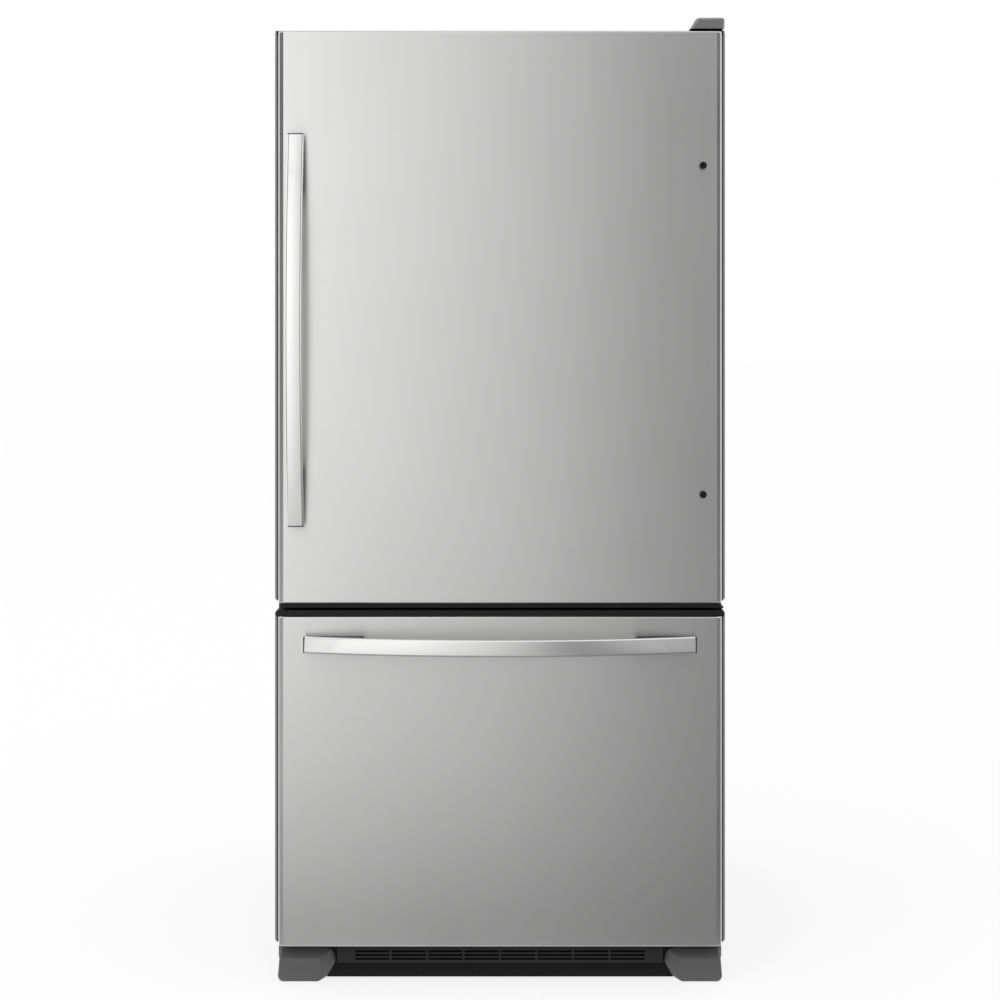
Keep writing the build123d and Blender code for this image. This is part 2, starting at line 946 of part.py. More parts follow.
with BuildPart() as hinge_cover:
    add(cover_block(0, cabinet_height + fit_gap))
    fillet(hinge_cover.edges().group_by(Axis.Z)[-1], radius=cover_edge)
    fillet(
        hinge_cover.edges().filter_by(Axis.Z).group_by(Axis.Y)[0],
        radius=cover_nose,
    )
    add(cover_block(cover_wall, cabinet_height - overrun), mode=Mode.SUBTRACT)
    slab(
        (0, half + overrun),
        (cover_front - overrun, y_cabinet + overrun),
        (0, cabinet_height + cover_rise),
        Mode.SUBTRACT,
    )
keep(hinge_cover, "hinge_cover")

center_out = half - center_inset
with BuildPart() as center_hinge:
    slab(
        (center_out - center_flange_width, center_out),
        (y_cabinet - center_flange, y_cabinet),
        (freezer_ceiling - center_flange_lap, fresh_floor),
    )
    slab(
        (hinge_x - center_arm_width, center_out),
        (hinge_y - hinge_eye_radius, y_cabinet),
        (plate_low, plate_high),
    )
    fillet(
        center_hinge.edges().filter_by(Axis.Z).group_by(Axis.Y)[0],
        radius=center_arm_radius,
    )
    rod(hinge_x, hinge_y, (plate_high, plate_high + hinge_pin_length), hinge_pin_radius, "Z")
keep(center_hinge, "center_hinge")

plate_middle = (plate_in + plate_out) / 2
screw_base = cabinet_height + top_plate
with BuildPart() as cabinet_screws:
    for screw_x, screw_y in (
        (plate_middle + hinge_screw_spread, y_cabinet + hinge_screw_near),
        (plate_middle - hinge_screw_spread, y_cabinet + hinge_screw_near),
        (plate_middle, y_cabinet + hinge_screw_far),
    ):
        head_z = (screw_base, screw_base + hinge_screw_head)
        rod(screw_x, screw_y, head_z, hinge_screw_radius, "Z")
    rear_screw_holes(rear_screw_radius, rear_screw_length, Mode.ADD)
keep(cabinet_screws, "cabinet_screws")


# ---------------------------------------------------------------- fresh food fittings
frame_back = fresh_back - duct_depth - shelf_rear_gap
arm_back = fresh_back - track_depth - fit_gap
crisper_cover_z = (crisper_cover_height, crisper_cover_height + crisper_cover_thickness)
crisper_cover_y = (
    y_crisper + crisper_cover_recess + crisper_cover_rim,
    frame_back - crisper_cover_rim,
)
crisper_cover_half = fresh_half - crisper_cover_side
with BuildPart() as shelf_frames:
    for sign in (-1, 1):
        slab(
            (sign * track_x - track_width / 2, sign * track_x + track_width / 2),
            (fresh_back - track_depth, fresh_back),
            (shelf_heights[0] - track_below, shelf_heights[-1] + track_above),
        )
    for height in shelf_heights:
        frame_z = (height, height + shelf_frame)
        slab((-shelf_half, shelf_half), (y_shelf, frame_back), frame_z)
        slab(
            (-shelf_half + shelf_rim, shelf_half - shelf_rim),
            (y_shelf + shelf_rim, frame_back - shelf_rim),
            frame_z,
            Mode.SUBTRACT,
        )
        for sign in (-1, 1):
            arm = (sign * track_x - arm_width / 2, sign * track_x + arm_width / 2)
            arm_low = height - arm_height
            slab(arm, (y_shelf + arm_front_gap, arm_back), (arm_low, height))
            slab(arm, (frame_back - knee_length, arm_back), (arm_low - knee_height, arm_low))
    slab(
        (-fresh_half + fit_gap, fresh_half - fit_gap),
        (y_crisper + crisper_cover_recess, frame_back),
        crisper_cover_z,
    )
    slab(
        (-crisper_cover_half, crisper_cover_half),
        crisper_cover_y,
        crisper_cover_z,
        Mode.SUBTRACT,
    )
keep(shelf_frames, "shelf_frames")

with BuildPart() as shelf_glass:
    for height in shelf_heights:
        glass_low = height + shelf_glass_seat
        slab(
            (-shelf_half + shelf_rim + fit_gap, shelf_half - shelf_rim - fit_gap),
            (y_shelf + shelf_rim + fit_gap, frame_back - shelf_rim - fit_gap),
            (glass_low, glass_low + shelf_glass_thickness),
        )
    glass_low = crisper_cover_height + crisper_glass_seat
    slab(
        (-crisper_cover_half + fit_gap, crisper_cover_half - fit_gap),
        (crisper_cover_y[0] + fit_gap, crisper_cover_y[1] - fit_gap),
        (glass_low, glass_low + shelf_glass_thickness),
    )
keep(shelf_glass, "shelf_glass")

duct_half = duct_width / 2
duct_front = fresh_back - duct_depth
duct_z = (crisper_cover_height + duct_lift, fresh_top - housing_height - duct_drop)
vent_low = crisper_cover_height + vent_rise
vent_count = int((duct_z[1] - vent_headroom - vent_low) // vent_spacing) + 1
with BuildPart() as air_duct:
    slab((-duct_half, duct_half), (duct_front, fresh_back), duct_z)
    fillet(air_duct.edges().filter_by(Axis.Z).group_by(Axis.Y)[0], radius=duct_corner)
    slab(
        (-duct_half + duct_wall, duct_half - duct_wall),
        (duct_front + duct_wall, fresh_back),
        (duct_z[0] + duct_wall, duct_z[1] - duct_wall),
        Mode.SUBTRACT,
    )
    for vent in range(vent_count):
        vent_z = vent_low + vent * vent_spacing
        slab(
            (-duct_half + vent_margin, duct_half - vent_margin),
            (duct_front - overrun, duct_front + duct_wall + overrun),
            (vent_z, vent_z + vent_height),
            Mode.SUBTRACT,
        )
keep(air_duct, "air_duct")

housing_half = housing_width / 2
housing_z = (fresh_top - housing_height, fresh_top)
knob_z = fresh_top - housing_height / 2
lamp_x = (-lamp_width / 2, lamp_width / 2)
lamp_y = (y_housing + lamp_inset, y_housing + lamp_inset + lamp_length)
switch_z = fresh_top - switch_drop
y_switch = y_dyke + switch_gap
with BuildPart() as control_housing:
    slab((-housing_half, housing_half), (y_housing, y_housing + housing_length), housing_z)
    fillet(control_housing.edges().group_by(Axis.Z)[0], radius=housing_edge)
    slab(
        (-housing_half + housing_wall, housing_half - housing_wall),
        (y_housing + housing_wall, y_housing + housing_length - housing_wall),
        (housing_z[0] + housing_wall, fresh_top),
        Mode.SUBTRACT,
    )
    slab(
        lamp_x,
        lamp_y,
        (housing_z[0] - overrun, housing_z[0] + housing_wall + overrun),
        Mode.SUBTRACT,
    )
    for sign in (-1, 1):
        spindle_y = (y_housing - knob_depth + spindle_end, y_housing + overrun)
        rod(sign * knob_spread, spindle_y, knob_z, spindle_radius, "Y")
    slab(
        (-switch_offset - switch_box / 2, -switch_offset + switch_box / 2),
        (y_switch, y_switch + switch_length),
        (switch_z - switch_box / 2, fresh_top),
    )
    rod(
        -switch_offset,
        (y_switch, y_switch + switch_bore),
        switch_z,
        plunger_radius + plunger_play,
        "Y",
        Mode.SUBTRACT,
    )
keep(control_housing, "control_housing")

with BuildPart() as interior_lamp:
    slab(
        shrunk(lamp_x, lamp_gap),
        shrunk(lamp_y, lamp_gap),
        (housing_z[0], housing_z[0] + lamp_depth),
    )
    fillet(interior_lamp.edges().group_by(Axis.Z)[0], radius=lamp_edge)
keep(interior_lamp, "interior_lamp")


def knob(sign):
    """A control knob with a finger bar across its face, on the housing's front."""
    middle = sign * knob_spread
    knob_face = y_housing - knob_depth
    with BuildPart() as dial:
        rod(middle, (y_housing - knob_depth / 2, y_housing - knob_gap), knob_z, knob_radius, "Y")
        fillet(dial.edges().group_by(Axis.Y)[0], radius=knob_edge)
        slab(
            (middle - knob_bar_width / 2, middle + knob_bar_width / 2),
            (knob_face, y_housing - knob_depth / 2),
            (knob_z - knob_radius + knob_bar_inset, knob_z + knob_radius - knob_bar_inset),
        )
        rod(
            middle,
            (knob_face + knob_bore_end, y_housing),
            knob_z,
            spindle_radius + pin_clearance,
            "Y",
            Mode.SUBTRACT,
        )
    return dial


keep(knob(-1), "fresh_food_knob")
keep(knob(1), "freezer_knob")

with BuildPart() as switch_plunger:
    plunger_y = (y_dyke + plunger_gap, y_switch + plunger_depth)
    rod(-switch_offset, plunger_y, switch_z, plunger_radius, "Y")
    fillet(switch_plunger.edges().group_by(Axis.Y)[0], radius=plunger_edge)
keep(switch_plunger, "switch_plunger")

crisper_width = fresh_half - crisper_side - crisper_middle
crisper_back = fresh_back - crisper_rear_gap
crisper_z = (fresh_floor + crisper_lift, fresh_floor + crisper_lift + crisper_height)
window_low = crisper_z[1] - window_drop


def crisper(sign):
    """A clear pan with a pull lip and a humidity window in its front."""
    x = sorted((sign * crisper_middle, sign * (crisper_middle + crisper_width)))
    middle = sum(x) / 2
    with BuildPart() as pan:
        slab(x, (y_crisper, crisper_back), crisper_z)
        fillet(pan.edges().filter_by(Axis.Z), radius=crisper_corner)
        fillet(pan.edges().group_by(Axis.Z)[0], radius=crisper_bottom_radius)
        slab(
            (x[0] + crisper_wall, x[1] - crisper_wall),
            (y_crisper + 2 * crisper_wall, crisper_back - crisper_wall),
            (crisper_z[0] + crisper_wall, crisper_z[1]),
            Mode.SUBTRACT,
        )
        pull_low = crisper_z[1] - pull_drop
        slab(
            (middle - pull_width / 2, middle + pull_width / 2),
            (y_crisper - pull_depth, y_crisper),
            (pull_low, pull_low + pull_thickness),
        )
        slab(
            (middle - slider_width, middle + slider_width + slider_travel / 2),
            (y_crisper - overrun, y_crisper + crisper_wall),
            (window_low, window_low + slider_height + 2 * slider_play),
            Mode.SUBTRACT,
        )
    return pan


def humidity_slider(sign):
    """The slider that covers the crisper's humidity window."""
    middle = sign * (crisper_middle + crisper_width / 2)
    start = middle - slider_width + slider_play
    with BuildPart() as slide:
        slab(
            (start, start + slider_width),
            (y_crisper - slider_proud, y_crisper + slider_seat),
            (window_low + slider_play, window_low + slider_play + slider_height),
        )
        fillet(slide.edges().filter_by(Axis.Z).group_by(Axis.Y)[0], radius=slider_edge)
    return slide


keep(crisper(-1), "crisper_left")
keep(crisper(1), "crisper_right")
keep(humidity_slider(-1), "humidity_slider_left")
keep(humidity_slider(1), "humidity_slider_right")


# ---------------------------------------------------------------- door and drawer leaves
@dataclass
class Leaf:
    """A door or drawer front: its height range and the thickness of its end caps."""

    low: float
    high: float
    cap_low: float
    cap_high: float

    @property
    def skin_low(self):
        return self.low + self.cap_low

    @property
    def skin_high(self):
        return self.high - self.cap_high


door = Leaf(door_bottom, door_top, door_cap_low, door_cap_high)
drawer = Leaf(drawer_bottom, drawer_top, drawer_cap_low, drawer_cap_high)


def skin_block(leaf, inset):
    """The pressed form of the skin, shrunk inwards by inset, solid to the leaf's back."""
    edge = skin_half - inset
    with BuildPart() as block:
        slab(
            (-edge, edge),
            (y_leaf + inset, y_sheath),
            (leaf.skin_low + inset, leaf.skin_high - inset),
        )
        fillet(
            block.edges().filter_by(Axis.Z).group_by(Axis.Y)[0],
            radius=skin_corner - inset,
        )
        fillet(block.edges().group_by(Axis.Y)[0], radius=skin_edge - inset)
    return block.part


def stud_holes(places, radius, depth):
    """Cuts the fixing holes for handle studs, whose places are (x, z)."""
    for stud_x, stud_z in places:
        rod(stud_x, (y_leaf - overrun, y_leaf + depth), stud_z, radius, "Y", Mode.SUBTRACT)


def leaf_skin(leaf, studs):
    """The stainless sheet, wrapped round the leaf, hemmed at its top and bottom."""
    with BuildPart() as skin:
        add(skin_block(leaf, 0))
        add(skin_block(leaf, skin_gauge), mode=Mode.SUBTRACT)
        inside = skin_half - skin_gauge
        slab(
            (-inside, inside),
            (y_leaf + skin_hem, y_leaf_back),
            (leaf.low, leaf.high),
            Mode.SUBTRACT,
        )
        stud_holes(studs, stud_screw + pin_clearance, skin_gauge + skin_edge)
    return skin


def leaf_trims(leaf):
    """The painted side trims that stand out behind the skin's wrapped edges."""
    low, high = leaf.skin_low + trim_end, leaf.skin_high - trim_end
    with BuildPart() as trims:
        for sign in (-1, 1):
            outer = sorted((sign * (skin_half + fit_gap), sign * half))
            slab(outer, (y_leaf_back - trim_depth, y_leaf_back), (low, high))
            back = sorted((sign * (half - trim_lip), sign * half))
            slab(back, (y_leaf_back - liner_plate, y_leaf_back), (low, high))
        outside = trims.edges().filter_by(
            lambda e: abs(abs(e.center().X) - half) < fit_gap / 2
            and abs(e.center().Y - (y_leaf_back - trim_depth)) < fit_gap / 2
        )
        fillet(outside, radius=trim_edge)
    return trims


def leaf_foam(leaf, core, studs):
    """The foam body, with the core that fills the liner's raised ring or panel."""
    with BuildPart() as body:
        add(skin_block(leaf, foam_skin))
        for cut in (
            (leaf.low, leaf.skin_low + foam_cap_gap),
            (leaf.skin_high - foam_cap_gap, leaf.high),
        ):
            slab((-half, half), (y_leaf - overrun, y_leaf_back), cut, Mode.SUBTRACT)
        add(core)
        stud_holes(studs, stud_screw + pin_clearance, stud_depth + stud_end_gap)
    return body


def leaf_liner(leaf, shell):
    """The vacuum-formed inner liner: a flat flange with the dyke's shell on it."""
    edge = half - trim_lip - fit_gap
    with BuildPart() as liner:
        slab(
            (-edge, edge),
            (y_leaf_back - liner_plate, y_leaf_back),
            (leaf.skin_low + liner_end_gap, leaf.skin_high - liner_end_gap),
        )
        add(shell[0])
        add(shell[1], mode=Mode.SUBTRACT)
    return liner


def leaf_gasket(low, high):
    """The magnetic gasket, a ring with a bellows groove in the seal gap."""
    outer = half - gasket_inset
    y = (y_leaf_back + fit_gap, y_cabinet - seal_clearance)
    groove = (y[0] + bellows_gap, y[0] + bellows_gap + bellows_width)
    with BuildPart() as seal:
        slab((-outer, outer), y, (low, high))
        slab(
            (-outer + gasket_width, outer - gasket_width),
            y,
            (low + gasket_width, high - gasket_width),
            Mode.SUBTRACT,
        )
        for side in both_sides(outer - bellows_depth, outer):
            slab(side, groove, (low, high), Mode.SUBTRACT)
    return seal


def cap_plate(leaf, upper, spread, shoulder, bore_end):
    """One end cap: a plug inside the skin, a neck past the hem and a flange outside."""
    step = -1 if upper else 1
    leaf_edge = leaf.high if upper else leaf.low
    skin_end = leaf.skin_high if upper else leaf.skin_low
    edge = skin_half - skin_gauge - fit_gap
    y_neck = (y_leaf + skin_hem + fit_gap, y_sheath - fit_gap)
    with BuildPart() as cap:
        add(skin_block(leaf, foam_skin))
        plug = sorted((skin_end, skin_end + step * (foam_skin + cap_plug)))
        slab((-edge, edge), (y_leaf, y_sheath - fit_gap), plug, Mode.INTERSECT)
        neck = sorted((skin_end - step * fit_gap, skin_end + step * (foam_skin + cap_neck)))
        slab((-edge, edge), y_neck, neck)
        flange = sorted((leaf_edge, skin_end - step * fit_gap))
        slab((-spread, spread), (y_leaf + skin_hem, y_leaf_back - fit_gap), flange)
        if shoulder:
            corners = cap.edges().filter_by(Axis.Y).group_by(Axis.Z)[-1 if upper else 0]
            fillet(corners, radius=shoulder)
        if bore_end:
            bore = sorted((leaf_edge - step * overrun, bore_end))
            rod(hinge_x, hinge_y, bore, hinge_pin_radius + pin_clearance, "Z", Mode.SUBTRACT)
    return cap.part


def leaf_caps(leaf, spread_low, spread_high, shoulder, bore_low, bore_high):
    """Both end caps of a leaf."""
    with BuildPart() as caps:
        add(cap_plate(leaf, False, spread_low, 0, bore_low))
        add(cap_plate(leaf, True, spread_high, shoulder, bore_high))
    return caps


def ring(x, y, z, width):
    """A rectangular ring of the given bar width, facing along Y."""
    with BuildPart() as frame:
        slab(x, y, z)
        slab(
            (x[0] + width, x[1] - width),
            (y[0] - overrun, y[1] + overrun),
            (z[0] + width, z[1] - width),
            Mode.SUBTRACT,
        )
        fillet(frame.edges().filter_by(Axis.Y), radius=dyke_corner)
    return frame.part


# the door's dyke stands clear of the hinge side so that it swings past the wall
y_ring = (y_leaf_back - liner_plate, y_dyke)
ring_shell = (
    ring(dyke_x, y_ring, dyke_z, dyke_width),
    ring(
        shrunk(dyke_x, liner_gauge),
        (y_ring[0] - overrun, y_dyke - liner_gauge),
        shrunk(dyke_z, liner_gauge),
        dyke_width - 2 * liner_gauge,
    ),
)


def ring_core():
    """The foam bars that fill the door's dyke: two upright, two between them."""
    x, z = shrunk(dyke_x, liner_out), shrunk(dyke_z, liner_out)
    y = (y_sheath + fit_gap, y_dyke - liner_out)
    width = dyke_width - 2 * liner_out
    with BuildPart() as bars:
        slab((x[0], x[0] + width), y, z)
        slab((x[1] - width, x[1]), y, z)
        outer = bars.edges().filter_by(Axis.Y).filter_by(
            lambda e: abs(e.center().X - sum(x) / 2) > (x[1] - x[0] - width) / 2
        )
        fillet(outer, radius=dyke_corner)
        between = shrunk(x, width + fit_gap)
        slab(between, y, (z[0], z[0] + width))
        slab(between, y, (z[1] - width, z[1]))
    return bars.part


handle_studs = (
    (-door_handle_x, door_handle_z - foot_centre),
    (-door_handle_x, door_handle_z + foot_centre),
)
spare_studs = (
    (door_handle_x, door_handle_z - foot_centre),
    (door_handle_x, door_handle_z + foot_centre),
)
drawer_studs = ((-foot_centre, drawer_handle_z), (foot_centre, drawer_handle_z))

keep(leaf_skin(door, handle_studs + spare_studs), "door_skin")
keep(leaf_trims(door), "door_side_trims")
keep(leaf_foam(door, ring_core(), handle_studs + spare_studs), "door_foam")
keep(leaf_liner(door, ring_shell), "door_liner")
door_seal_z = (door.skin_low + door_gasket_gap, door.skin_high - door_gasket_gap)
keep(leaf_gasket(*door_seal_z), "door_gasket")
door_bores = (
    plate_high + hinge_pin_length + hinge_clearance,
    cabinet_height - hinge_pin_length - hinge_clearance / 2,
)
door_cap_ends = (half - cap_inset, half - door_cap_high_inset)
keep(leaf_caps(door, *door_cap_ends, 0, *door_bores), "door_caps")

# the drawer's liner carries a plain raised panel between its slide brackets
panel_half = freezer_half - panel_side_gap
panel_z = (freezer_floor + panel_low_gap, freezer_ceiling - panel_high_gap)


def panel(inset, back):
    """The raised panel behind the drawer front, drawn in by inset."""
    with BuildPart() as block:
        slab(
            (-panel_half + inset, panel_half - inset),
            (back, y_leaf_back + panel_depth - inset),
            shrunk(panel_z, inset),
        )
        fillet(block.edges().filter_by(Axis.Y), radius=panel_corner)
    return block.part


panel_shell = (panel(0, y_ring[0]), panel(liner_gauge, y_ring[0] - overrun))
keep(leaf_skin(drawer, drawer_studs), "drawer_skin")
keep(leaf_trims(drawer), "drawer_side_trims")
keep(leaf_foam(drawer, panel(liner_out, y_sheath), drawer_studs), "drawer_foam")
keep(leaf_liner(drawer, panel_shell), "drawer_liner")
drawer_seal_z = (
    drawer.skin_low + drawer_gasket_low_gap,
    drawer.skin_high - drawer_gasket_high_gap,
)
keep(leaf_gasket(*drawer_seal_z), "drawer_gasket")
drawer_cap_ends = (half - cap_inset, half - drawer_cap_high_inset)
keep(leaf_caps(drawer, *drawer_cap_ends, drawer_shoulder, None, None), "drawer_caps")


# ---------------------------------------------------------------- handles and studs
def bowed(front_mid, thickness, width):
    """A bowed plate in side view, its long axis along Z and its ends nearer the door."""
    front_end = front_mid + handle_bow
    reach = handle_length / 2
    with BuildPart() as plate:
        with BuildSketch(Plane.YZ.offset(-width / 2)):
            with BuildLine():
                ThreePointArc((front_end, -reach), (front_mid, 0), (front_end, reach))
                Line((front_end, reach), (front_end + thickness, reach))
                ThreePointArc(
                    (front_end + thickness, reach),
                    (front_mid + thickness, 0),
                    (front_end + thickness, -reach),
                )
                Line((front_end + thickness, -reach), (front_end, -reach))
            make_face()
        extrude(amount=width)
    return plate.part


def handle_bar_piece():
    """The rounded bar, centred on its own middle."""
    with BuildPart() as bar:
        add(bowed(y_handle, handle_bar, handle_width))
        fillet(bar.edges().filter_by(GeomType.CIRCLE), radius=handle_round)
    return bar.part


def handle_feet_piece():
    """Two wedge feet between the bar and the door, and the bar's two end caps."""
    y_bar_back = y_handle + handle_bar + foot_play
    with BuildPart() as feet:
        for sign in (-1, 1):
            centre = sign * foot_centre
            slab(
                (-foot_width / 2, foot_width / 2),
                (y_handle, y_leaf),
                (centre - foot_length / 2, centre + foot_length / 2),
            )
        fillet(feet.edges().filter_by(Axis.Y), radius=foot_radius)
        add(
            bowed(y_bar_back - handle_reach, handle_reach, handle_width),
            mode=Mode.SUBTRACT,
        )
        for sign in (-1, 1):
            rod(
                0,
                (y_leaf - stud_stand - foot_socket, y_leaf + overrun),
                sign * foot_centre,
                stud_radius + pin_clearance,
                "Y",
                Mode.SUBTRACT,
            )
        y_end = y_handle + handle_bow
        cap_half = handle_width / 2 - handle_cap_margin
        for sign in (-1, 1):
            ends = sorted((sign * handle_length / 2, sign * (handle_length / 2 + handle_cap)))
            slab(
                (-cap_half, cap_half),
                (y_end + handle_cap_margin, y_end + handle_bar - handle_cap_margin),
                ends,
            )
    return feet.part


upright = Location((-door_handle_x, 0, door_handle_z))
across = Location((0, 0, drawer_handle_z), (0, 90, 0))


def placed(piece, place):
    """A copy of a handle piece moved to its leaf."""
    with BuildPart() as copy:
        add(piece.moved(place))
    return copy


bar_piece = handle_bar_piece()
feet_piece = handle_feet_piece()
keep(placed(bar_piece, upright), "door_handle")
keep(placed(bar_piece, across), "drawer_handle")
keep(placed(feet_piece, upright), "door_handle_feet")


def add_studs(places):
    """Shoulder studs: a screw in the leaf and a round head with a hex socket."""
    for stud_x, stud_z in places:
        rod(stud_x, (y_leaf, y_leaf + stud_depth), stud_z, stud_screw, "Y")
        rod(stud_x, (y_leaf - stud_stand, y_leaf), stud_z, stud_radius, "Y")
        key_end = y_leaf - stud_stand + stud_key_depth
        with Locations(Plane((stud_x, key_end, stud_z), z_dir=(0, -1, 0))):
            add(hex_key(), mode=Mode.SUBTRACT)


def hex_key():
    """The hex socket that is cut into a stud's head."""
    with BuildPart() as key:
        with BuildSketch():
            RegularPolygon(radius=stud_key_radius, side_count=6)
        extrude(amount=stud_key_depth + overrun)
    return key.part


with BuildPart() as door_studs:
    add_studs(handle_studs + spare_studs)
keep(door_studs, "door_studs")

with BuildPart() as drawer_handle_feet:
    add(feet_piece.moved(across))
    add_studs(drawer_studs)
keep(drawer_handle_feet, "drawer_handle_feet")

# ---------------------------------------------------------------- door bins and dairy lid
bin_x = shrunk(dyke_x, dyke_width + fit_gap)
bin_y = (y_leaf_back + fit_gap, y_leaf_back + fit_gap + bin_depth)
bin_middle = sum(bin_x) / 2
dairy_x = (bin_x[0], bin_middle - bin_gap / 2)
dairy_z = (dairy_low, dairy_low + dairy_tall)
lid_axis_y = bin_y[1] - lid_axis_depth
lid_axis_z = dairy_z[1] - lid_axis_drop
with BuildPart() as door_bins:
    for low in bin_heights:
        tray(bin_x, bin_y, (low, low + bin_height), bin_wall)
    small_x = (bin_middle + bin_gap / 2, bin_x[1])
    tray(small_x, bin_y, (dairy_low, dairy_low + bin_height), bin_wall)
    slab(dairy_x, bin_y, dairy_z)
    slab(
        shrunk(dairy_x, bin_wall),
        (bin_y[0] + bin_wall, bin_y[1] - dairy_front_wall),
        shrunk(dairy_z, bin_wall),
        Mode.SUBTRACT,
    )
    slab(
        shrunk(dairy_x, bin_wall),
        (bin_y[1] - dairy_mouth_depth, bin_y[1] + overrun),
        (dairy_z[0] + dairy_lip, dairy_z[1] + overrun),
        Mode.SUBTRACT,
    )
    rod(
        shrunk(dairy_x, lid_pin_margin),
        lid_axis_y,
        lid_axis_z,
        lid_pin_radius + pin_clearance,
        "X",
        Mode.SUBTRACT,
    )
keep(door_bins, "door_bins")

with BuildPart() as dairy_lid:
    slab(
        shrunk(dairy_x, bin_wall + lid_side_gap),
        (lid_axis_y - lid_thickness / 2, lid_axis_y + lid_thickness / 2),
        (dairy_z[0] + dairy_lip + lid_low_gap, lid_axis_z),
    )
    pin_ends = shrunk(dairy_x, lid_pin_margin + lid_pin_gap)
    rod(pin_ends, lid_axis_y, lid_axis_z, lid_pin_radius, "X")
keep(dairy_lid, "dairy_lid")

# ---------------------------------------------------------------- drawer slides and baskets
y_rail = (y_slide, freezer_low_back - slide_rear_gap)
rail_a = (freezer_half - slide_member, freezer_half)
rail_b = shrunk((rail_a[0] - slide_member, rail_a[0]), slide_gap / 2)
rail_c = (rail_a[0] - 2 * slide_member, rail_a[0] - slide_member - slide_gap / 2)


def rails(x, y, height):
    """A left and a right slide member centred on the slide's height."""
    for side in both_sides(*x):
        slab(side, y, (slide_z - height / 2, slide_z + height / 2))


ledge_top = upper_basket_floor + upper_basket_height - upper_basket_flange - slide_gap
ledge_in = freezer_half - ledge_width
with BuildPart() as fixed_slides:
    rails(rail_a, y_rail, slide_height)
    ledge_y = (y_slide, y_evaporator_cover - ledge_rear_gap)
    for side in both_sides(ledge_in, freezer_half):
        slab(side, ledge_y, (ledge_top - ledge_height, ledge_top))
keep(fixed_slides, "fixed_slides")

with BuildPart() as middle_slides:
    rails(rail_b, y_rail, middle_slide_height)
keep(middle_slides, "middle_slides")

bracket_z = (slide_z - bracket_height / 2, slide_z + bracket_height / 2)
with BuildPart() as drawer_rails:
    rails(rail_c, (y_leaf_back, y_rail[1] - drawer_slide_short), drawer_slide_height)
    for side in both_sides(panel_half + bracket_gap, rail_c[1]):
        slab(side, (y_leaf_back, y_leaf_back + bracket_gauge), bracket_z)
keep(drawer_rails, "drawer_rails")


def wall_slots(x, y, z_middle, height):
    """Rows of upright slots through a basket's four walls."""
    columns = int((x[1] - x[0] - basket_slot_margin) // basket_slot_spacing)
    rows = int((y[1] - y[0] - basket_slot_margin) // basket_slot_spacing)
    with Locations((sum(x) / 2, sum(y) / 2, z_middle)):
        with GridLocations(basket_slot_spacing, 1, columns, 1):
            Box(basket_slot_width, y[1] - y[0] + overrun, height, mode=Mode.SUBTRACT)
        with GridLocations(1, basket_slot_spacing, 1, rows):
            Box(x[1] - x[0] + overrun, basket_slot_width, height, mode=Mode.SUBTRACT)


rail_top = slide_z + drawer_slide_height / 2
basket_x = (-basket_half, basket_half)
basket_y = (y_cabinet + basket_front, freezer_low_back - basket_rear_gap)
basket_z = (basket_floor, rail_top + basket_rim)
with BuildPart() as lower_basket:
    tray(basket_x, basket_y, basket_z, basket_wall)
    slot_middle = sum(basket_z) / 2 - basket_slot_drop
    wall_slots(basket_x, basket_y, slot_middle, basket_slot_height)
    for side in both_sides(basket_half, rail_c[1]):
        slab(side, basket_y, (rail_top, basket_z[1]))
keep(lower_basket, "lower_basket")

upper_x = (-ledge_in + upper_basket_side, ledge_in - upper_basket_side)
upper_y = (y_cabinet + upper_basket_front, y_evaporator_cover - upper_basket_rear_gap)
upper_z = (upper_basket_floor, upper_basket_floor + upper_basket_height)
with BuildPart() as upper_basket:
    tray(upper_x, upper_y, upper_z, basket_wall)
    wall_slots(upper_x, upper_y, sum(upper_z) / 2, upper_basket_height - upper_slot_margin)
    for side in both_sides(upper_x[1] - upper_basket_lap, freezer_half - upper_basket_play):
        slab(side, upper_y, (upper_z[1] - upper_basket_flange, upper_z[1]))
keep(upper_basket, "upper_basket")

# ---------------------------------------------------------------- evaporator and its fan
cover_y = (y_evaporator_cover, y_evaporator_cover + cover_sheet)
cover_half = freezer_half - evaporator_cover_gap
shroud_radius = evaporator_fan_radius + fan_shroud_gap
with BuildPart() as evaporator_cover:
    slab((-cover_half, cover_half), cover_y, (step_height, freezer_ceiling))
    hole_y = (cover_y[0] - overrun, cover_y[1] + overrun)
    rod(0, hole_y, fan_z, shroud_radius, "Y", Mode.SUBTRACT)
    for bar_z in (-guard_spacing, 0, guard_spacing):
        reach = ((shroud_radius + guard_lap) ** 2 - bar_z**2) ** 0.5
        guard_z = (fan_z + bar_z - guard_width / 2, fan_z + bar_z + guard_width / 2)
        slab((-reach, reach), cover_y, guard_z)
keep(evaporator_cover, "evaporator_cover")

y_coil = (y_evaporator_cover + coil_front_gap, y_evaporator_cover + coil_front_gap + coil_depth)
fin_spacing = 2 * (coil_half - fin_margin) / (fin_count - 1)
tube_spacing = (coil_height - 2 * tube_margin) / (tube_rows - 1)
with BuildPart() as evaporator:
    with Locations((0, sum(y_coil) / 2, coil_low + coil_height / 2)):
        with GridLocations(fin_spacing, 1, fin_count, 1):
            Box(fin_thickness, coil_depth, coil_height)
    for row in range(tube_rows):
        for tube_y in shrunk(y_coil, tube_inset):
            tube_z = coil_low + tube_margin + row * tube_spacing
            rod((-coil_half, coil_half), tube_y, tube_z, tube_radius, "X")
    for end in (-coil_half, coil_half):
        slab(
            (end - coil_plate / 2, end + coil_plate / 2),
            (y_coil[0], fresh_back),
            (coil_low - coil_plate_drop, coil_low + coil_height),
        )
keep(evaporator, "evaporator")


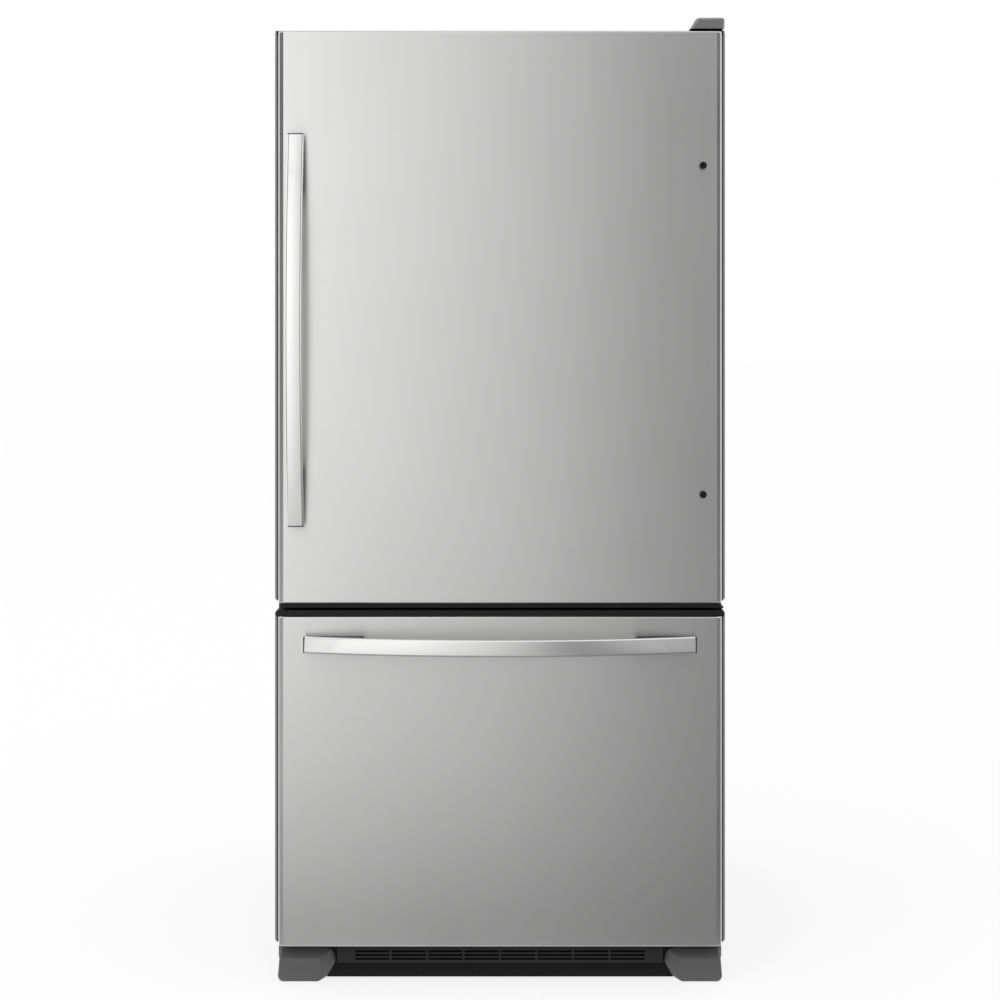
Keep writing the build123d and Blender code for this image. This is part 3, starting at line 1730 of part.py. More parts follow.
def blades(radius, hub, thickness, twist):
    """A fan wheel about its own Z axis: hub, twisted blades and a shaft hole."""
    blade_middle = (radius + hub) / 2 - blade_root
    with BuildPart() as wheel:
        Cylinder(hub, thickness)
        for blade in range(blade_count):
            turn = Rotation(0, 0, blade * 360 / blade_count)
            with Locations(turn * Location((blade_middle, 0, 0), (twist, 0, 0))):
                Box(radius - hub, radius * 0.6, blade_thickness)
        Cylinder(shaft_radius + pin_clearance, thickness * 2, mode=Mode.SUBTRACT)
    return wheel.part


y_blade = cover_y[1] + evaporator_blade_gap
with BuildPart() as evaporator_fan:
    wheel = blades(
        evaporator_fan_radius - blade_radius_gap,
        evaporator_hub_radius,
        evaporator_hub_length,
        evaporator_blade_angle,
    )
    add(wheel.moved(Location((0, y_blade, fan_z), (90, 0, 0))))
keep(evaporator_fan, "evaporator_fan")

y_motor = y_blade + motor_gap
motor_x = (fan_x - condenser_motor_gap - motor_length, fan_x - condenser_motor_gap)
pedestal_x = (motor_x[0] + pedestal_gap, motor_x[0] + pedestal_gap + pedestal_thickness)
with BuildPart() as fan_motors:
    rod(0, (y_motor, y_motor + motor_length), fan_z, motor_radius, "Y")
    rod(0, (y_blade - shaft_end, y_motor), fan_z, shaft_radius, "Y")
    slab(
        (-motor_bracket / 2, motor_bracket / 2),
        (y_motor + motor_length - overrun, fresh_back),
        (fan_z - motor_bracket / 2, fan_z + motor_bracket / 2),
    )
    rod(motor_x, y_fan, condenser_fan_z, motor_radius, "X")
    rod((motor_x[1], fan_x + condenser_shaft_end), y_fan, condenser_fan_z, shaft_radius, "X")
    slab(
        pedestal_x,
        (y_fan - pedestal_width / 2, y_fan + pedestal_width / 2),
        (base_top, condenser_fan_z),
    )
keep(fan_motors, "fan_motors")

with BuildPart() as condenser_fan:
    wheel = blades(
        condenser_fan_radius,
        condenser_hub_radius,
        condenser_hub_length,
        condenser_blade_angle,
    )
    add(wheel.moved(Location((fan_x, y_fan, condenser_fan_z), (0, 90, 0))))
keep(condenser_fan, "condenser_fan")

# ---------------------------------------------------------------- machine compartment
can_low = base_top + mount_height
mount_side = 2 * (mount_spread + mount_margin)
with BuildPart() as compressor:
    with BuildSketch(Plane.XY.offset(can_low + mount_plate)):
        with Locations((-compressor_x, y_fan)):
            Ellipse(compressor_radius, compressor_radius - compressor_squash)
    extrude(amount=compressor_height)
    fillet(compressor.edges().group_by(Axis.Z)[-1], radius=compressor_dome)
    with BuildSketch(Plane.XY.offset(can_low)):
        with Locations((-compressor_x, y_fan)):
            RectangleRounded(mount_side, mount_side, mount_corner)
    extrude(amount=mount_plate)
    with BuildSketch(Plane.XY.offset(base_top)):
        with Locations((-compressor_x, y_fan)):
            with GridLocations(2 * mount_spread, 2 * mount_spread, 2, 2):
                Circle(mount_radius)
    extrude(amount=mount_height)
keep(compressor, "compressor")

pan_y = (y_machine + pan_front_gap, y_back - pan_rear_gap)
with BuildPart() as drain_pan:
    tray(pan_x, pan_y, (base_top, base_top + pan_height), pan_wall)
keep(drain_pan, "drain_pan")

coil_x = shrunk(pan_x, condenser_margin)
coil_z = (base_top + pan_wall, machine_height - condenser_top_gap)
plate_y = (pan_y[0] + condenser_margin, pan_y[1] - condenser_rear_margin)
tube_x = shrunk(coil_x, condenser_tube_side)
tube_z = (coil_z[0] + condenser_tube_rise, coil_z[1] - condenser_tube_drop)
tube_y = (plate_y[0] - condenser_tube_end, plate_y[1] + condenser_plate + condenser_tube_end)
with BuildPart() as condenser_coil:
    for plate in plate_y:
        slab(coil_x, (plate, plate + condenser_plate), coil_z)
    for column in range(condenser_columns):
        for level in range(condenser_columns):
            across_share = column / (condenser_columns - 1)
            up_share = level / (condenser_columns - 1)
            place_x = tube_x[0] + across_share * (tube_x[1] - tube_x[0])
            place_z = tube_z[0] + up_share * (tube_z[1] - tube_z[0])
            rod(place_x, tube_y, place_z, condenser_tube_radius, "Y")
keep(condenser_coil, "condenser_coil")
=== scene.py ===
"""Looks of a bottom freezer refrigerator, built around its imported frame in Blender 4.5."""

import json
import math

import bmesh
import bpy
from bpy.props import FloatProperty, FloatVectorProperty, IntProperty, PointerProperty
from mathutils import Matrix, Vector

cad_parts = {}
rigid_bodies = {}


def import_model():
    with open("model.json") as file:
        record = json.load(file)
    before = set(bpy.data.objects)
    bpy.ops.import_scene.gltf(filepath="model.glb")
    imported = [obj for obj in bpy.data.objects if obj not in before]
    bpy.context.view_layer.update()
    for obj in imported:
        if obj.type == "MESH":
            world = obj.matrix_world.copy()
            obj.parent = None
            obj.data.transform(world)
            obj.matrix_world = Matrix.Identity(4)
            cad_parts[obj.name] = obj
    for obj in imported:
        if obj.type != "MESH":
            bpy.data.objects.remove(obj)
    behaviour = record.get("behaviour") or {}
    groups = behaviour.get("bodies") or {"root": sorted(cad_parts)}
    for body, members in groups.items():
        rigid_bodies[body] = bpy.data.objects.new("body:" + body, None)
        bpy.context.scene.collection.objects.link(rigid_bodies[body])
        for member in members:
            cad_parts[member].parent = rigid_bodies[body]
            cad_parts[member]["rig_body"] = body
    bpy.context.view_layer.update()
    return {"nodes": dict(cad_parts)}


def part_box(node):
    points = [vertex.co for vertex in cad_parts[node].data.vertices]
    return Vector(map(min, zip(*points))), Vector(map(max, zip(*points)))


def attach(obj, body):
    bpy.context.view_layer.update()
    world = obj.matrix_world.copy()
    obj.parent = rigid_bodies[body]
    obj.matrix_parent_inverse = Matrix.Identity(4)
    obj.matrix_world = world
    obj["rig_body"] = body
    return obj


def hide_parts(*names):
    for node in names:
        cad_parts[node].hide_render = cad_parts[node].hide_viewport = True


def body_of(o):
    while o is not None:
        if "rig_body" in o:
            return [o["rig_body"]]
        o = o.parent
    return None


bl_info = {
    "name": "Bottom Freezer Refrigerator",
    "version": (1, 0, 0),
    "blender": (4, 5, 0),
    "location": "View3D > Sidebar > Refrigerator",
    "description": "Models and finishes the refrigerator's pieces around its frame",
    "category": "Object",
}

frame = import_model()
NODES = frame["nodes"]

# in metres: how near counts as touching, and how near points are merged
TOUCH = 1e-5
MERGE = 2e-6
# cosines: a face that looks along an axis, and an edge that runs along one
FACING = 0.9
ALONG = 0.999
# the range that a noise mostly fills, and how far a finish's roughness sways with it
NOISE_LOW = 0.3
NOISE_HIGH = 0.7
SWAY = 0.02


# ------------------------------------------------------------------ sizes and colours
def length(name, description, default):
    """A length in metres that a user may change."""
    return FloatProperty(
        name=name, description=description, default=default, unit="LENGTH", precision=4
    )


def colour(name, description, default):
    """A base colour that a user may change."""
    return FloatVectorProperty(
        name=name,
        description=description,
        default=default,
        subtype="COLOR",
        size=3,
        min=0.0,
        max=1.0,
    )


def place(name, description, default):
    """A point in metres that a user may move."""
    return FloatVectorProperty(
        name=name, description=description, default=default, subtype="TRANSLATION", size=3
    )


class FridgeFinishes(bpy.types.PropertyGroup):
    """Base colours of the refrigerator's finishes."""

    steel: colour("Stainless steel", "Brushed sheet of both fronts", (0.84, 0.84, 0.835))
    handle: colour("Handle metal", "Satin metal of both handles", (0.92, 0.92, 0.915))
    cabinet: colour("Cabinet paint", "Textured paint of the cabinet", (0.155, 0.156, 0.16))
    trim: colour("Side trim paint", "Paint of the trims beside both fronts", (0.25, 0.25, 0.253))
    black: colour("Black plastic", "End caps, hinge parts and wheels", (0.012, 0.012, 0.012))
    base: colour("Base paint", "Base frame, painted shade plate, fans and drain pan", (0.005, 0.005, 0.005))
    # near-black of the base frame, fans and drain pan, kept this dark so it also paints the shade
    # behind the grille and under the cabinet
    grille: colour("Grille plastic", "Base grille", (0.022, 0.022, 0.023))
    hinge: colour("Hinge cover plastic", "Cap over the top hinge", (0.125, 0.125, 0.127))
    foot: colour("Foot cover plastic", "Covers of the front feet", (0.088, 0.088, 0.090))
    liner: colour("Liner white", "Moulded liners and inner panels", (0.84, 0.85, 0.86))
    fitting: colour("Fitting white", "Shelf frames, baskets and knobs", (0.82, 0.83, 0.84))
    gasket: colour("Gasket grey", "Door and drawer seals", (0.30, 0.30, 0.31))
    clear: colour("Clear plastic", "Bins and crispers", (0.955, 0.975, 0.985))
    glass: colour("Shelf glass", "Tempered glass of the shelves", (0.93, 0.975, 0.96))
    zinc: colour("Zinc coat", "Slides, brackets and the rear panel", (0.56, 0.57, 0.58))
    compressor: colour("Compressor paint", "Compressor and motors", (0.018, 0.018, 0.019))
    foam: colour("Foam", "Rigid foam inside the walls", (0.72, 0.60, 0.34))
    coil: colour("Coil aluminium", "Evaporator and condenser", (0.66, 0.67, 0.68))
    lens: colour("Lamp lens", "Ribbed cover of the lamp", (0.95, 0.95, 0.93))
    lamp: colour("Lamp light", "Light of the lamp behind its lens", (1.0, 0.97, 0.9))


class FridgeSizes(bpy.types.PropertyGroup):
    """Sizes of the details that are modelled here."""

    edge_round: length("Moulded edge", "Radius of a moulded or pressed edge", 0.0008)
    sheet: length("Front sheet", "Thickness of the stainless fronts", 0.0008)
    sheet_hem: length("Front hem", "Depth of the fronts' top and bottom hems", 0.010)
    sheet_roll: length("Front roll", "Radius at the edges of the fronts", 0.0028)
    crown_band: length("Crown band", "Width of the fronts' sloping sides", 0.011)
    crown_ease: length("Crown ease", "Width over which that slope begins", 0.002)
    crown_slope: FloatProperty(
        name="Crown slope", description="Fall of the sloping sides over their width", default=0.33
    )
    trim_seam: length("Trim seam", "Width of the groove between sheet and trim", 0.0040)
    trim_gap: length("Trim gap", "Between the sheet's edge and the trim", 0.0002)
    trim_groove: length("Trim groove", "Depth of that groove", 0.010)
    trim_rebate: length("Trim rebate", "Depth of the trim's toe behind the front", 0.003)
    trim_toe: length("Trim toe", "Reach of the toe behind the front", 0.0067)
    trim_end: length("Trim ends", "Reach of the trims past their core", 0.0055)
    trim_play: length("Trim play", "Between a trim's top and what is over it", 0.0005)
    trim_edge: length("Trim edges", "Radius of the trims' edges", 0.0014)
    trim_round: length("Trim rounding", "Rise of the trims' lower ends", 0.007)
    handle_thickness: length("Handle thickness", "From a handle's front to its back", 0.011)
    handle_round: length("Handle rounding", "Corner radius of the handle's section", 0.0040)
    handle_crown: length("Handle crown", "Fall of the handle's face at its edges", 0.0007)
    handle_lean: length("Handle lean", "Fall of the level handle's face at its top", 0.0019)
    bow_steps: IntProperty(
        name="Bow steps", description="Rings along a handle's bow", default=48, min=8
    )
    foot_round: length("Handle foot rounding", "Radius of the handle feet's edges", 0.0012)
    panel_round: length("Inner panel rounding", "Radius of the inner panels' edges", 0.0012)
    fine_round: length("Fine rounding", "Radius of studs and buttons", 0.0005)
    shelf_nose: length("Shelf nose", "Radius of the shelves' fronts", 0.005)
    glass_round: length("Glass edge", "Radius of the shelf glass's ground edges", 0.0006)
    bin_wall: length("Bin wall", "Wall of the door bins", 0.0022)
    bin_round: length("Bin rounding", "Corner radius of the door bins", 0.012)
    bin_lip: length("Bin lip", "Width of the bins' turned-out lip", 0.0040)
    grille_foot: length("Grille foot", "Height of the grille's lower edge", 0.033)
    # the next five sizes place a near-black plate of painted shade behind the grille, under the
    # cabinet
    shade_plate_reach: length("Shade plate reach", "Reach of the painted shade plate past the grille's ends", 0.020)
    shade_plate_recess: length("Shade plate recess", "From the grille's face to the painted shade plate", 0.008)
    shade_plate_sheet: length("Shade plate sheet", "Thickness of the painted shade plate", 0.004)
    shade_plate_hang: length("Shade plate hang", "Hang of the painted shade plate below the grille", 0.004)
    shade_plate_drop: length("Shade plate drop", "From the grille's top to the painted shade plate's", 0.001)
    boot_round: length("Foot cover rounding", "Radius of the front foot covers' edges", 0.0040)
    cover_slope: length("Hinge cover slope", "Run of the cap's sloping side", 0.015)
    cover_draft: length("Hinge cover draft", "Lean of the cap's outer side", 0.001)
    cover_rise: length("Hinge cover rise", "From the door's top to the cap's edge", 0.0038)
    cover_wall: length("Hinge cover wall", "Wall of the cap", 0.002)
    cover_round: length("Hinge cover rounding", "Radius of the hinge cover's edges", 0.0060)
    dial_step: length("Dial step", "From a knob's bar to its face", 0.007)
    dial_round: length("Dial rounding", "Depth of the rounding at a knob's rim", 0.0035)
    dial_ease: length("Dial ease", "Depth of the first part of that rounding", 0.0012)
    bar_width: length("Finger bar width", "Width of a knob's finger bar", 0.0072)
    bar_inset: length("Finger bar inset", "From a knob's rim to its bar", 0.0015)
    bar_root: length("Finger bar root", "Depth of the bar in the knob's face", 0.002)
    mark_width: length("Mark width", "Width of the marks round the knobs", 0.0008)
    mark_proud: length("Pointer stand", "Stand of the pointer over the finger bar", 0.00005)
    mark_depth: length("Mark depth", "Depth of the marks in the housing", 0.001)
    short_mark: length("Short mark", "Length of every second mark", 0.0026)
    long_mark: length("Long mark", "Length of the other marks", 0.0036)
    pointer_start: length("Pointer start", "From a knob's middle to its pointer", 0.004)
    pointer_inset: length("Pointer inset", "From the bar's end to the pointer's", 0.0022)
    lens_round: length("Lens rounding", "Radius of the lamp lens's edges", 0.002)
    rib_depth: length("Lens ribs", "Depth of the lens's ribs", 0.0012)
    press_count: IntProperty(
        name="Rear panels", description="Panels pressed into the rear cover", default=4, min=1
    )
    press_margin: length("Rear margin", "Plain border of the rear cover", 0.035)
    press_rib: length("Rear rib", "Half the width of the ribs between its panels", 0.018)
    press_depth: length("Rear pressing", "Depth of the rear cover's pressed panels", 0.0030)
    press_fold: length("Rear fold", "Radius of the panels' folds", 0.0025)


class FridgeStage(bpy.types.PropertyGroup):
    """Camera, floor and light."""

    eye_height: length("Eye height", "Height of the camera above the floor", 1.2)
    eye_distance: length("Eye distance", "From the camera to the door's face", 3.0)
    frame_shift: FloatProperty(
        name="Frame shift", description="Camera shift that frames the photo", default=-0.170
    )
    focal: FloatProperty(
        name="Focal length", description="Lens in millimetres", default=58.98
    )
    floor_half: length("Floor half size", "Half the width of the floor", 60.0)
    floor_glow: FloatProperty(
        name="Floor glow", description="Share of plain white in the floor's look", default=0.80
    )
    world_level: FloatProperty(
        name="World level", description="Light of the studio on matt surfaces", default=0.95
    )
    lamp_power: FloatProperty(
        name="Lamp power", description="Power of the soft lamp in watts", default=45.0, unit="POWER"
    )
    lamp_width: length("Lamp width", "Width of the soft lamp", 2.4)
    lamp_height: length("Lamp height", "Height of the soft lamp's face", 3.2)
    lamp_place: place("Lamp place", "Middle of the soft lamp", (-3.4, -3.6, 3.4))
    lamp_aim: place("Lamp aim", "Point that the soft lamp faces", (0.0, 0.0, 0.9))
    card_half: length("Card half width", "Half the width of the grey cards", 6.0)
    card_top: length("Card height", "Height of the upright card", 6.0)
    card_lift: length("Card lift", "Height of the level card above the floor", 0.004)
    card_gap: length("Card gap", "From the fronts to the card on the floor", 0.02)
    card_distance: length("Card distance", "From the fronts to the upright card", 4.0)
    card_level: FloatProperty(
        name="Card level", description="Brightness of the cards' lightest band", default=1.15
    )


def finishes():
    return bpy.context.scene.fridge_finishes


def sizes():
    return bpy.context.scene.fridge_sizes


# ------------------------------------------------------------------ mesh helpers
def slab(bm, low, high, bevel=0.0, segments=3):
    """Adds a box between two corners, with rounded edges, and returns its vertices."""
    low, high = Vector(low), Vector(high)
    made = bmesh.ops.create_cube(bm, size=1.0)["verts"]
    bmesh.ops.scale(bm, vec=high - low, verts=made)
    bmesh.ops.translate(bm, vec=(low + high) / 2, verts=made)
    if bevel:
        edges = list({e for v in made for e in v.link_edges})
        round_edges(bm, edges, bevel, segments)
    return made


def round_edges(bm, edges, radius, segments=3):
    """Bevels the edges with an even round profile."""
    return bmesh.ops.bevel(
        bm,
        geom=edges,
        offset=radius,
        offset_type="OFFSET",
        segments=segments,
        profile=0.5,
        affect="EDGES",
        clamp_overlap=True,
        material=-1,
    )


def verts_of(geom):
    """The vertices among the elements that an operator made."""
    return [v for v in geom if isinstance(v, bmesh.types.BMVert)]


def prism(bm, outline, axis, end):
    """Adds a solid from an outline's points along an axis, and returns its near vertices."""
    near = [bm.verts.new(point) for point in outline]
    made = bmesh.ops.extrude_face_region(bm, geom=[bm.faces.new(near)])["geom"]
    for vert in verts_of(made):
        vert.co[axis] = end
    return near


def swing(bm, centre, axis, steps, angle=2 * math.pi):
    """Swings a section round an axis; a full turn closes on itself."""
    bmesh.ops.spin(
        bm,
        geom=[*bm.verts, *bm.edges, *bm.faces],
        cent=centre,
        axis=axis,
        angle=angle,
        steps=steps,
        use_merge=math.isclose(angle, 2 * math.pi),
        use_duplicate=False,
    )


def cut(bm, place, normal, clear_inner=False):
    """Cuts the mesh along a plane, and keeps both halves unless the inner one is cleared."""
    bmesh.ops.bisect_plane(
        bm,
        geom=[*bm.verts, *bm.edges, *bm.faces],
        plane_co=place,
        plane_no=normal,
        clear_inner=clear_inner,
    )


def copied(node):
    """A merged copy of a CAD node's mesh, with its flat faces joined."""
    bm = bmesh.new()
    bm.from_mesh(NODES[node].data)
    bmesh.ops.remove_doubles(bm, verts=bm.verts, dist=MERGE)
    bmesh.ops.dissolve_limit(
        bm, angle_limit=math.radians(0.5), verts=bm.verts, edges=bm.edges
    )
    return bm


def soften(bm, radius, segments=2, least=40.0):
    """Rounds every edge that turns by more than the least angle."""
    turn = math.radians(least)
    sharp = [e for e in bm.edges if e.is_manifold and e.calc_face_angle(0.0) > turn]
    round_edges(bm, sharp, radius, segments)


def edges_at(bm, test):
    """The edges whose two ends both pass the test."""
    return [e for e in bm.edges if all(test(v.co) for v in e.verts)]


def drop(bm, test):
    """Deletes the vertices that pass the test."""
    bmesh.ops.delete(bm, geom=[v for v in bm.verts if test(v.co)], context="VERTS")


def absorb(bm, other):
    """Moves another bmesh's shape into this one."""
    carrier = bpy.data.meshes.new("carrier")
    other.to_mesh(carrier)
    other.free()
    bm.from_mesh(carrier)
    bpy.data.meshes.remove(carrier)


def solids(bm):
    """The lowest and highest corners of each separate solid in a bmesh."""
    boxes, seen = [], set()
    for start in bm.verts:
        if start in seen:
            continue
        group, front = [], [start]
        seen.add(start)
        while front:
            vert = front.pop()
            group.append(vert.co)
            near = {edge.other_vert(vert) for edge in vert.link_edges} - seen
            seen |= near
            front.extend(near)
        low, high = (Vector([pick(axis) for axis in zip(*group)]) for pick in (min, max))
        boxes.append((low, high))
    return boxes


def frame_ring(section, low, high):
    """Sweeps a section of (inset, depth) points round a box's XZ outline, corners mitred."""
    bm = bmesh.new()
    reach = 2 * max(inset for inset, depth in section)
    corner = [bm.verts.new((reach - inset, depth, reach - inset)) for inset, depth in section]
    for pair in zip(corner, corner[1:] + corner[:1]):
        bm.edges.new(pair)
    swing(bm, (0.0, 0.0, 0.0), (0.0, 1.0, 0.0), steps=4)
    half = (high - low) / 2
    middle = (low + high) / 2
    for vert in bm.verts:
        vert.co.x += middle.x + math.copysign(half.x - reach, vert.co.x)
        vert.co.z += middle.z + math.copysign(half.z - reach, vert.co.z)
        vert.co.y += low.y
    return bm


def tub(low, high):
    """An open clear bin with rounded corners and a turned-out lip."""
    size = sizes()
    lip = Vector((size.bin_lip, size.bin_lip, 0.0))
    bm = bmesh.new()
    slab(bm, low + lip, high - lip)
    round_edges(bm, edges_along(bm, 2), size.bin_round, 6)
    foot = edges_at(bm, lambda co: co.z < low.z + TOUCH)
    round_edges(bm, foot, size.bin_round / 2, 4)
    top = [f for f in bm.faces if f.normal.z > FACING and f.verts[0].co.z > high.z - TOUCH]
    bmesh.ops.delete(bm, geom=top, context="FACES_ONLY")
    middle = (low + high) / 2
    whole, inner = high - low, high - low - 2 * lip
    outward = Vector((whole.x / inner.x, whole.y / inner.y, 1.0))
    about = Matrix.Translation(-middle)
    for growth, fall in ((outward, 0.0), (Vector((1.0, 1.0, 1.0)), 2 * size.bin_lip)):
        rim = [e for e in bm.edges if e.is_boundary]
        grown = verts_of(bmesh.ops.extrude_edge_only(bm, edges=rim)["geom"])
        bmesh.ops.scale(bm, vec=growth, verts=grown, space=about)
        bmesh.ops.translate(bm, vec=(0.0, 0.0, -fall), verts=grown)
    bmesh.ops.recalc_face_normals(bm, faces=bm.faces)
    bmesh.ops.solidify(bm, geom=bm.faces[:], thickness=size.bin_wall)
    return bm


def edges_along(bm, axis):
    """The straight edges that run along an axis."""
    found = []
    for edge in bm.edges:
        run = edge.verts[1].co - edge.verts[0].co
        if abs(run[axis]) > ALONG * run.length:
            found.append(edge)
    return found


def piece(name, bm, material, node, stands_for=True, sharp=35.0):
    """Finishes a bmesh as an object that rides with a CAD node and may stand for it."""
    bmesh.ops.remove_doubles(bm, verts=bm.verts, dist=MERGE / 2)
    bmesh.ops.recalc_face_normals(bm, faces=bm.faces)
    mesh = bpy.data.meshes.new(name)
    bm.to_mesh(mesh)
    bm.free()
    mesh.shade_smooth()
    mesh.set_sharp_from_angle(angle=math.radians(sharp))
    mesh.materials.append(material)
    obj = bpy.data.objects.new(name, mesh)
    bpy.context.scene.collection.objects.link(obj)
    modifier = obj.modifiers.new("even_normals", "WEIGHTED_NORMAL")
    modifier.keep_sharp = True
    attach(obj, *body_of(NODES[node]))
    if stands_for:
        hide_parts(node)
    return obj


def softened(name, node, material, radius=None, shape=None):
    """A copy of a CAD node, shaped further where asked, with its sharp edges rounded."""
    bm = copied(node)
    if shape:
        shape(bm)
    soften(bm, radius or sizes().edge_round)
    return piece(name, bm, material, node)


def dress(material, *names):
    """Gives CAD nodes their material."""
    for name in names:
        mesh_object = NODES[name]
        if mesh_object.material_slots:
            for place in mesh_object.material_slots:
                place.material = material
        else:
            mesh_object.data.materials.append(material)


# ------------------------------------------------------------------ shader helpers
def node_group(name, inputs, outputs):
    """A new shader node group with named sockets, and its input and output nodes."""
    group = bpy.data.node_groups.new(name, "ShaderNodeTree")
    for label, kind, value in inputs:
        socket = group.interface.new_socket(label, in_out="INPUT", socket_type=kind)
        if value is not None:
            socket.default_value = value
    for label, kind in outputs:
        group.interface.new_socket(label, in_out="OUTPUT", socket_type=kind)
    return group, group.nodes.new("NodeGroupInput"), group.nodes.new("NodeGroupOutput")


def group_named(name, build):
    """The group of that name, built on its first use."""
    return bpy.data.node_groups.get(name) or build(name)


def noise(tree, vector, scale, detail=3.0, roughness=0.5):
    """A noise texture on a vector, whose scale is a number or a socket."""
    node = tree.nodes.new("ShaderNodeTexNoise")
    node.inputs["Detail"].default_value = detail
    node.inputs["Roughness"].default_value = roughness
    tree.links.new(vector, node.inputs["Vector"])
    if isinstance(scale, (int, float)):
        node.inputs["Scale"].default_value = scale
    else:
        tree.links.new(scale, node.inputs["Scale"])
    return node.outputs["Fac"]


def spread(tree, value, low, high, from_low=0.0, from_high=1.0):
    """Maps a value onto a range; each end is a number or a socket."""
    node = tree.nodes.new("ShaderNodeMapRange")
    node.clamp = False
    tree.links.new(value, node.inputs["Value"])
    ends = (("From Min", from_low), ("From Max", from_high), ("To Min", low), ("To Max", high))
    for label, end in ends:
        if isinstance(end, (int, float)):
            node.inputs[label].default_value = end
        else:
            tree.links.new(end, node.inputs[label])
    return node.outputs["Result"]


def maths(tree, operation, first, second=None):
    """One maths node on sockets or numbers."""
    node = tree.nodes.new("ShaderNodeMath")
    node.operation = operation
    for place, value in enumerate((first, second)):
        if value is None:
            continue
        if isinstance(value, (int, float)):
            node.inputs[place].default_value = value
        else:
            tree.links.new(value, node.inputs[place])
    return node.outputs["Value"]


def build_brush_lines(name):
    """Fine straight lines of a brushed finish, drawn out by the Stretch scale."""
    group, given, result = node_group(
        name,
        [
            ("Vector", "NodeSocketVector", None),
            ("Stretch", "NodeSocketVector", (1.0, 1.0, 1.0)),
            ("Smudge Size", "NodeSocketFloat", 4.0),
        ],
        [("Height", "NodeSocketFloat"), ("Shade", "NodeSocketFloat"), ("Smudge", "NodeSocketFloat")],
    )
    stretch = group.nodes.new("ShaderNodeVectorMath")
    stretch.operation = "MULTIPLY"
    group.links.new(given.outputs["Vector"], stretch.inputs[0])
    group.links.new(given.outputs["Stretch"], stretch.inputs[1])
    lines = noise(group, stretch.outputs[0], 1.0, detail=4.0, roughness=0.7)
    smudge = noise(group, given.outputs["Vector"], given.outputs["Smudge Size"], detail=2.0)
    group.links.new(lines, result.inputs["Height"])
    group.links.new(spread(group, lines, 0.0, 1.0, NOISE_LOW, NOISE_HIGH), result.inputs["Shade"])
    group.links.new(smudge, result.inputs["Smudge"])
    return group


def build_pebble(name):
    """The fine pebbled skin of textured paint or moulded plastic."""
    group, given, result = node_group(
        name,
        [
            ("Vector", "NodeSocketVector", None),
            ("Density", "NodeSocketFloat", 900.0),
            ("Cloud Size", "NodeSocketFloat", 6.0),
        ],
        [("Height", "NodeSocketFloat"), ("Cloud", "NodeSocketFloat")],
    )
    fine = noise(group, given.outputs["Vector"], given.outputs["Density"], detail=2.0)
    cell = group.nodes.new("ShaderNodeTexVoronoi")
    group.links.new(given.outputs["Vector"], cell.inputs["Vector"])
    group.links.new(given.outputs["Density"], cell.inputs["Scale"])
    group.links.new(
        maths(group, "MULTIPLY", fine, cell.outputs["Distance"]), result.inputs["Height"]
    )
    cloud = noise(group, given.outputs["Vector"], given.outputs["Cloud Size"], detail=3.0)
    group.links.new(cloud, result.inputs["Cloud"])
    return group


def build_spangle(name):
    """The crystal pattern of a zinc coat."""
    group, given, result = node_group(
        name,
        [("Vector", "NodeSocketVector", None), ("Density", "NodeSocketFloat", 90.0)],
        [("Shade", "NodeSocketFloat"), ("Cloud", "NodeSocketFloat")],
    )
    cell = group.nodes.new("ShaderNodeTexVoronoi")
    group.links.new(given.outputs["Vector"], cell.inputs["Vector"])
    group.links.new(given.outputs["Density"], cell.inputs["Scale"])
    parts = group.nodes.new("ShaderNodeSeparateColor")
    group.links.new(cell.outputs["Color"], parts.inputs["Color"])
    group.links.new(parts.outputs["Red"], result.inputs["Shade"])
    group.links.new(
        noise(group, given.outputs["Vector"], 12.0, detail=3.0), result.inputs["Cloud"]
    )
    return group


def place_group(tree, name, build, values):
    """Places a shared group on Object coordinates and sets its inputs."""
    node = tree.nodes.new("ShaderNodeGroup")
    node.node_tree = group_named(name, build)
    coords = tree.nodes.new("ShaderNodeTexCoord")
    tree.links.new(coords.outputs["Object"], node.inputs["Vector"])
    for label, value in values.items():
        node.inputs[label].default_value = value
    return node


def blank(name, base, roughness, metallic=0.0):
    """A new material with its Principled shader."""
    material = bpy.data.materials.new(name)
    material.use_nodes = True
    tree = material.node_tree
    shader = tree.nodes["Principled BSDF"]
    shader.inputs["Base Color"].default_value = (*base, 1.0)
    shader.inputs["Roughness"].default_value = roughness
    shader.inputs["Metallic"].default_value = metallic
    return material, tree, shader


def tint(tree, shader, factor, base, low, high):
    """Base colour that varies between two shades of itself."""
    mix = tree.nodes.new("ShaderNodeMix")
    mix.data_type = "RGBA"
    tree.links.new(factor, mix.inputs["Factor"])
    mix.inputs["A"].default_value = (*[c * low for c in base], 1.0)
    mix.inputs["B"].default_value = (*[min(c * high, 1.0) for c in base], 1.0)
    tree.links.new(mix.outputs["Result"], shader.inputs["Base Color"])
    return mix.outputs["Result"]


def sway(tree, shader, value, low, high, start=NOISE_LOW):
    """Roughness that goes from low to high with a noise."""
    rough = spread(tree, value, low, high, start, NOISE_HIGH)
    tree.links.new(rough, shader.inputs["Roughness"])


def emboss(tree, shader, height, strength, distance):
    """A bump on the shader's normal."""
    bump = tree.nodes.new("ShaderNodeBump")
    bump.inputs["Strength"].default_value = strength
    bump.inputs["Distance"].default_value = distance
    tree.links.new(height, bump.inputs["Height"])
    tree.links.new(bump.outputs["Normal"], shader.inputs["Normal"])


def once(build):
    """Makes a material on its first use and gives it back after that."""
    made = {}

    def get():
        if "material" not in made:
            made["material"] = build()
        return made["material"]

    return get


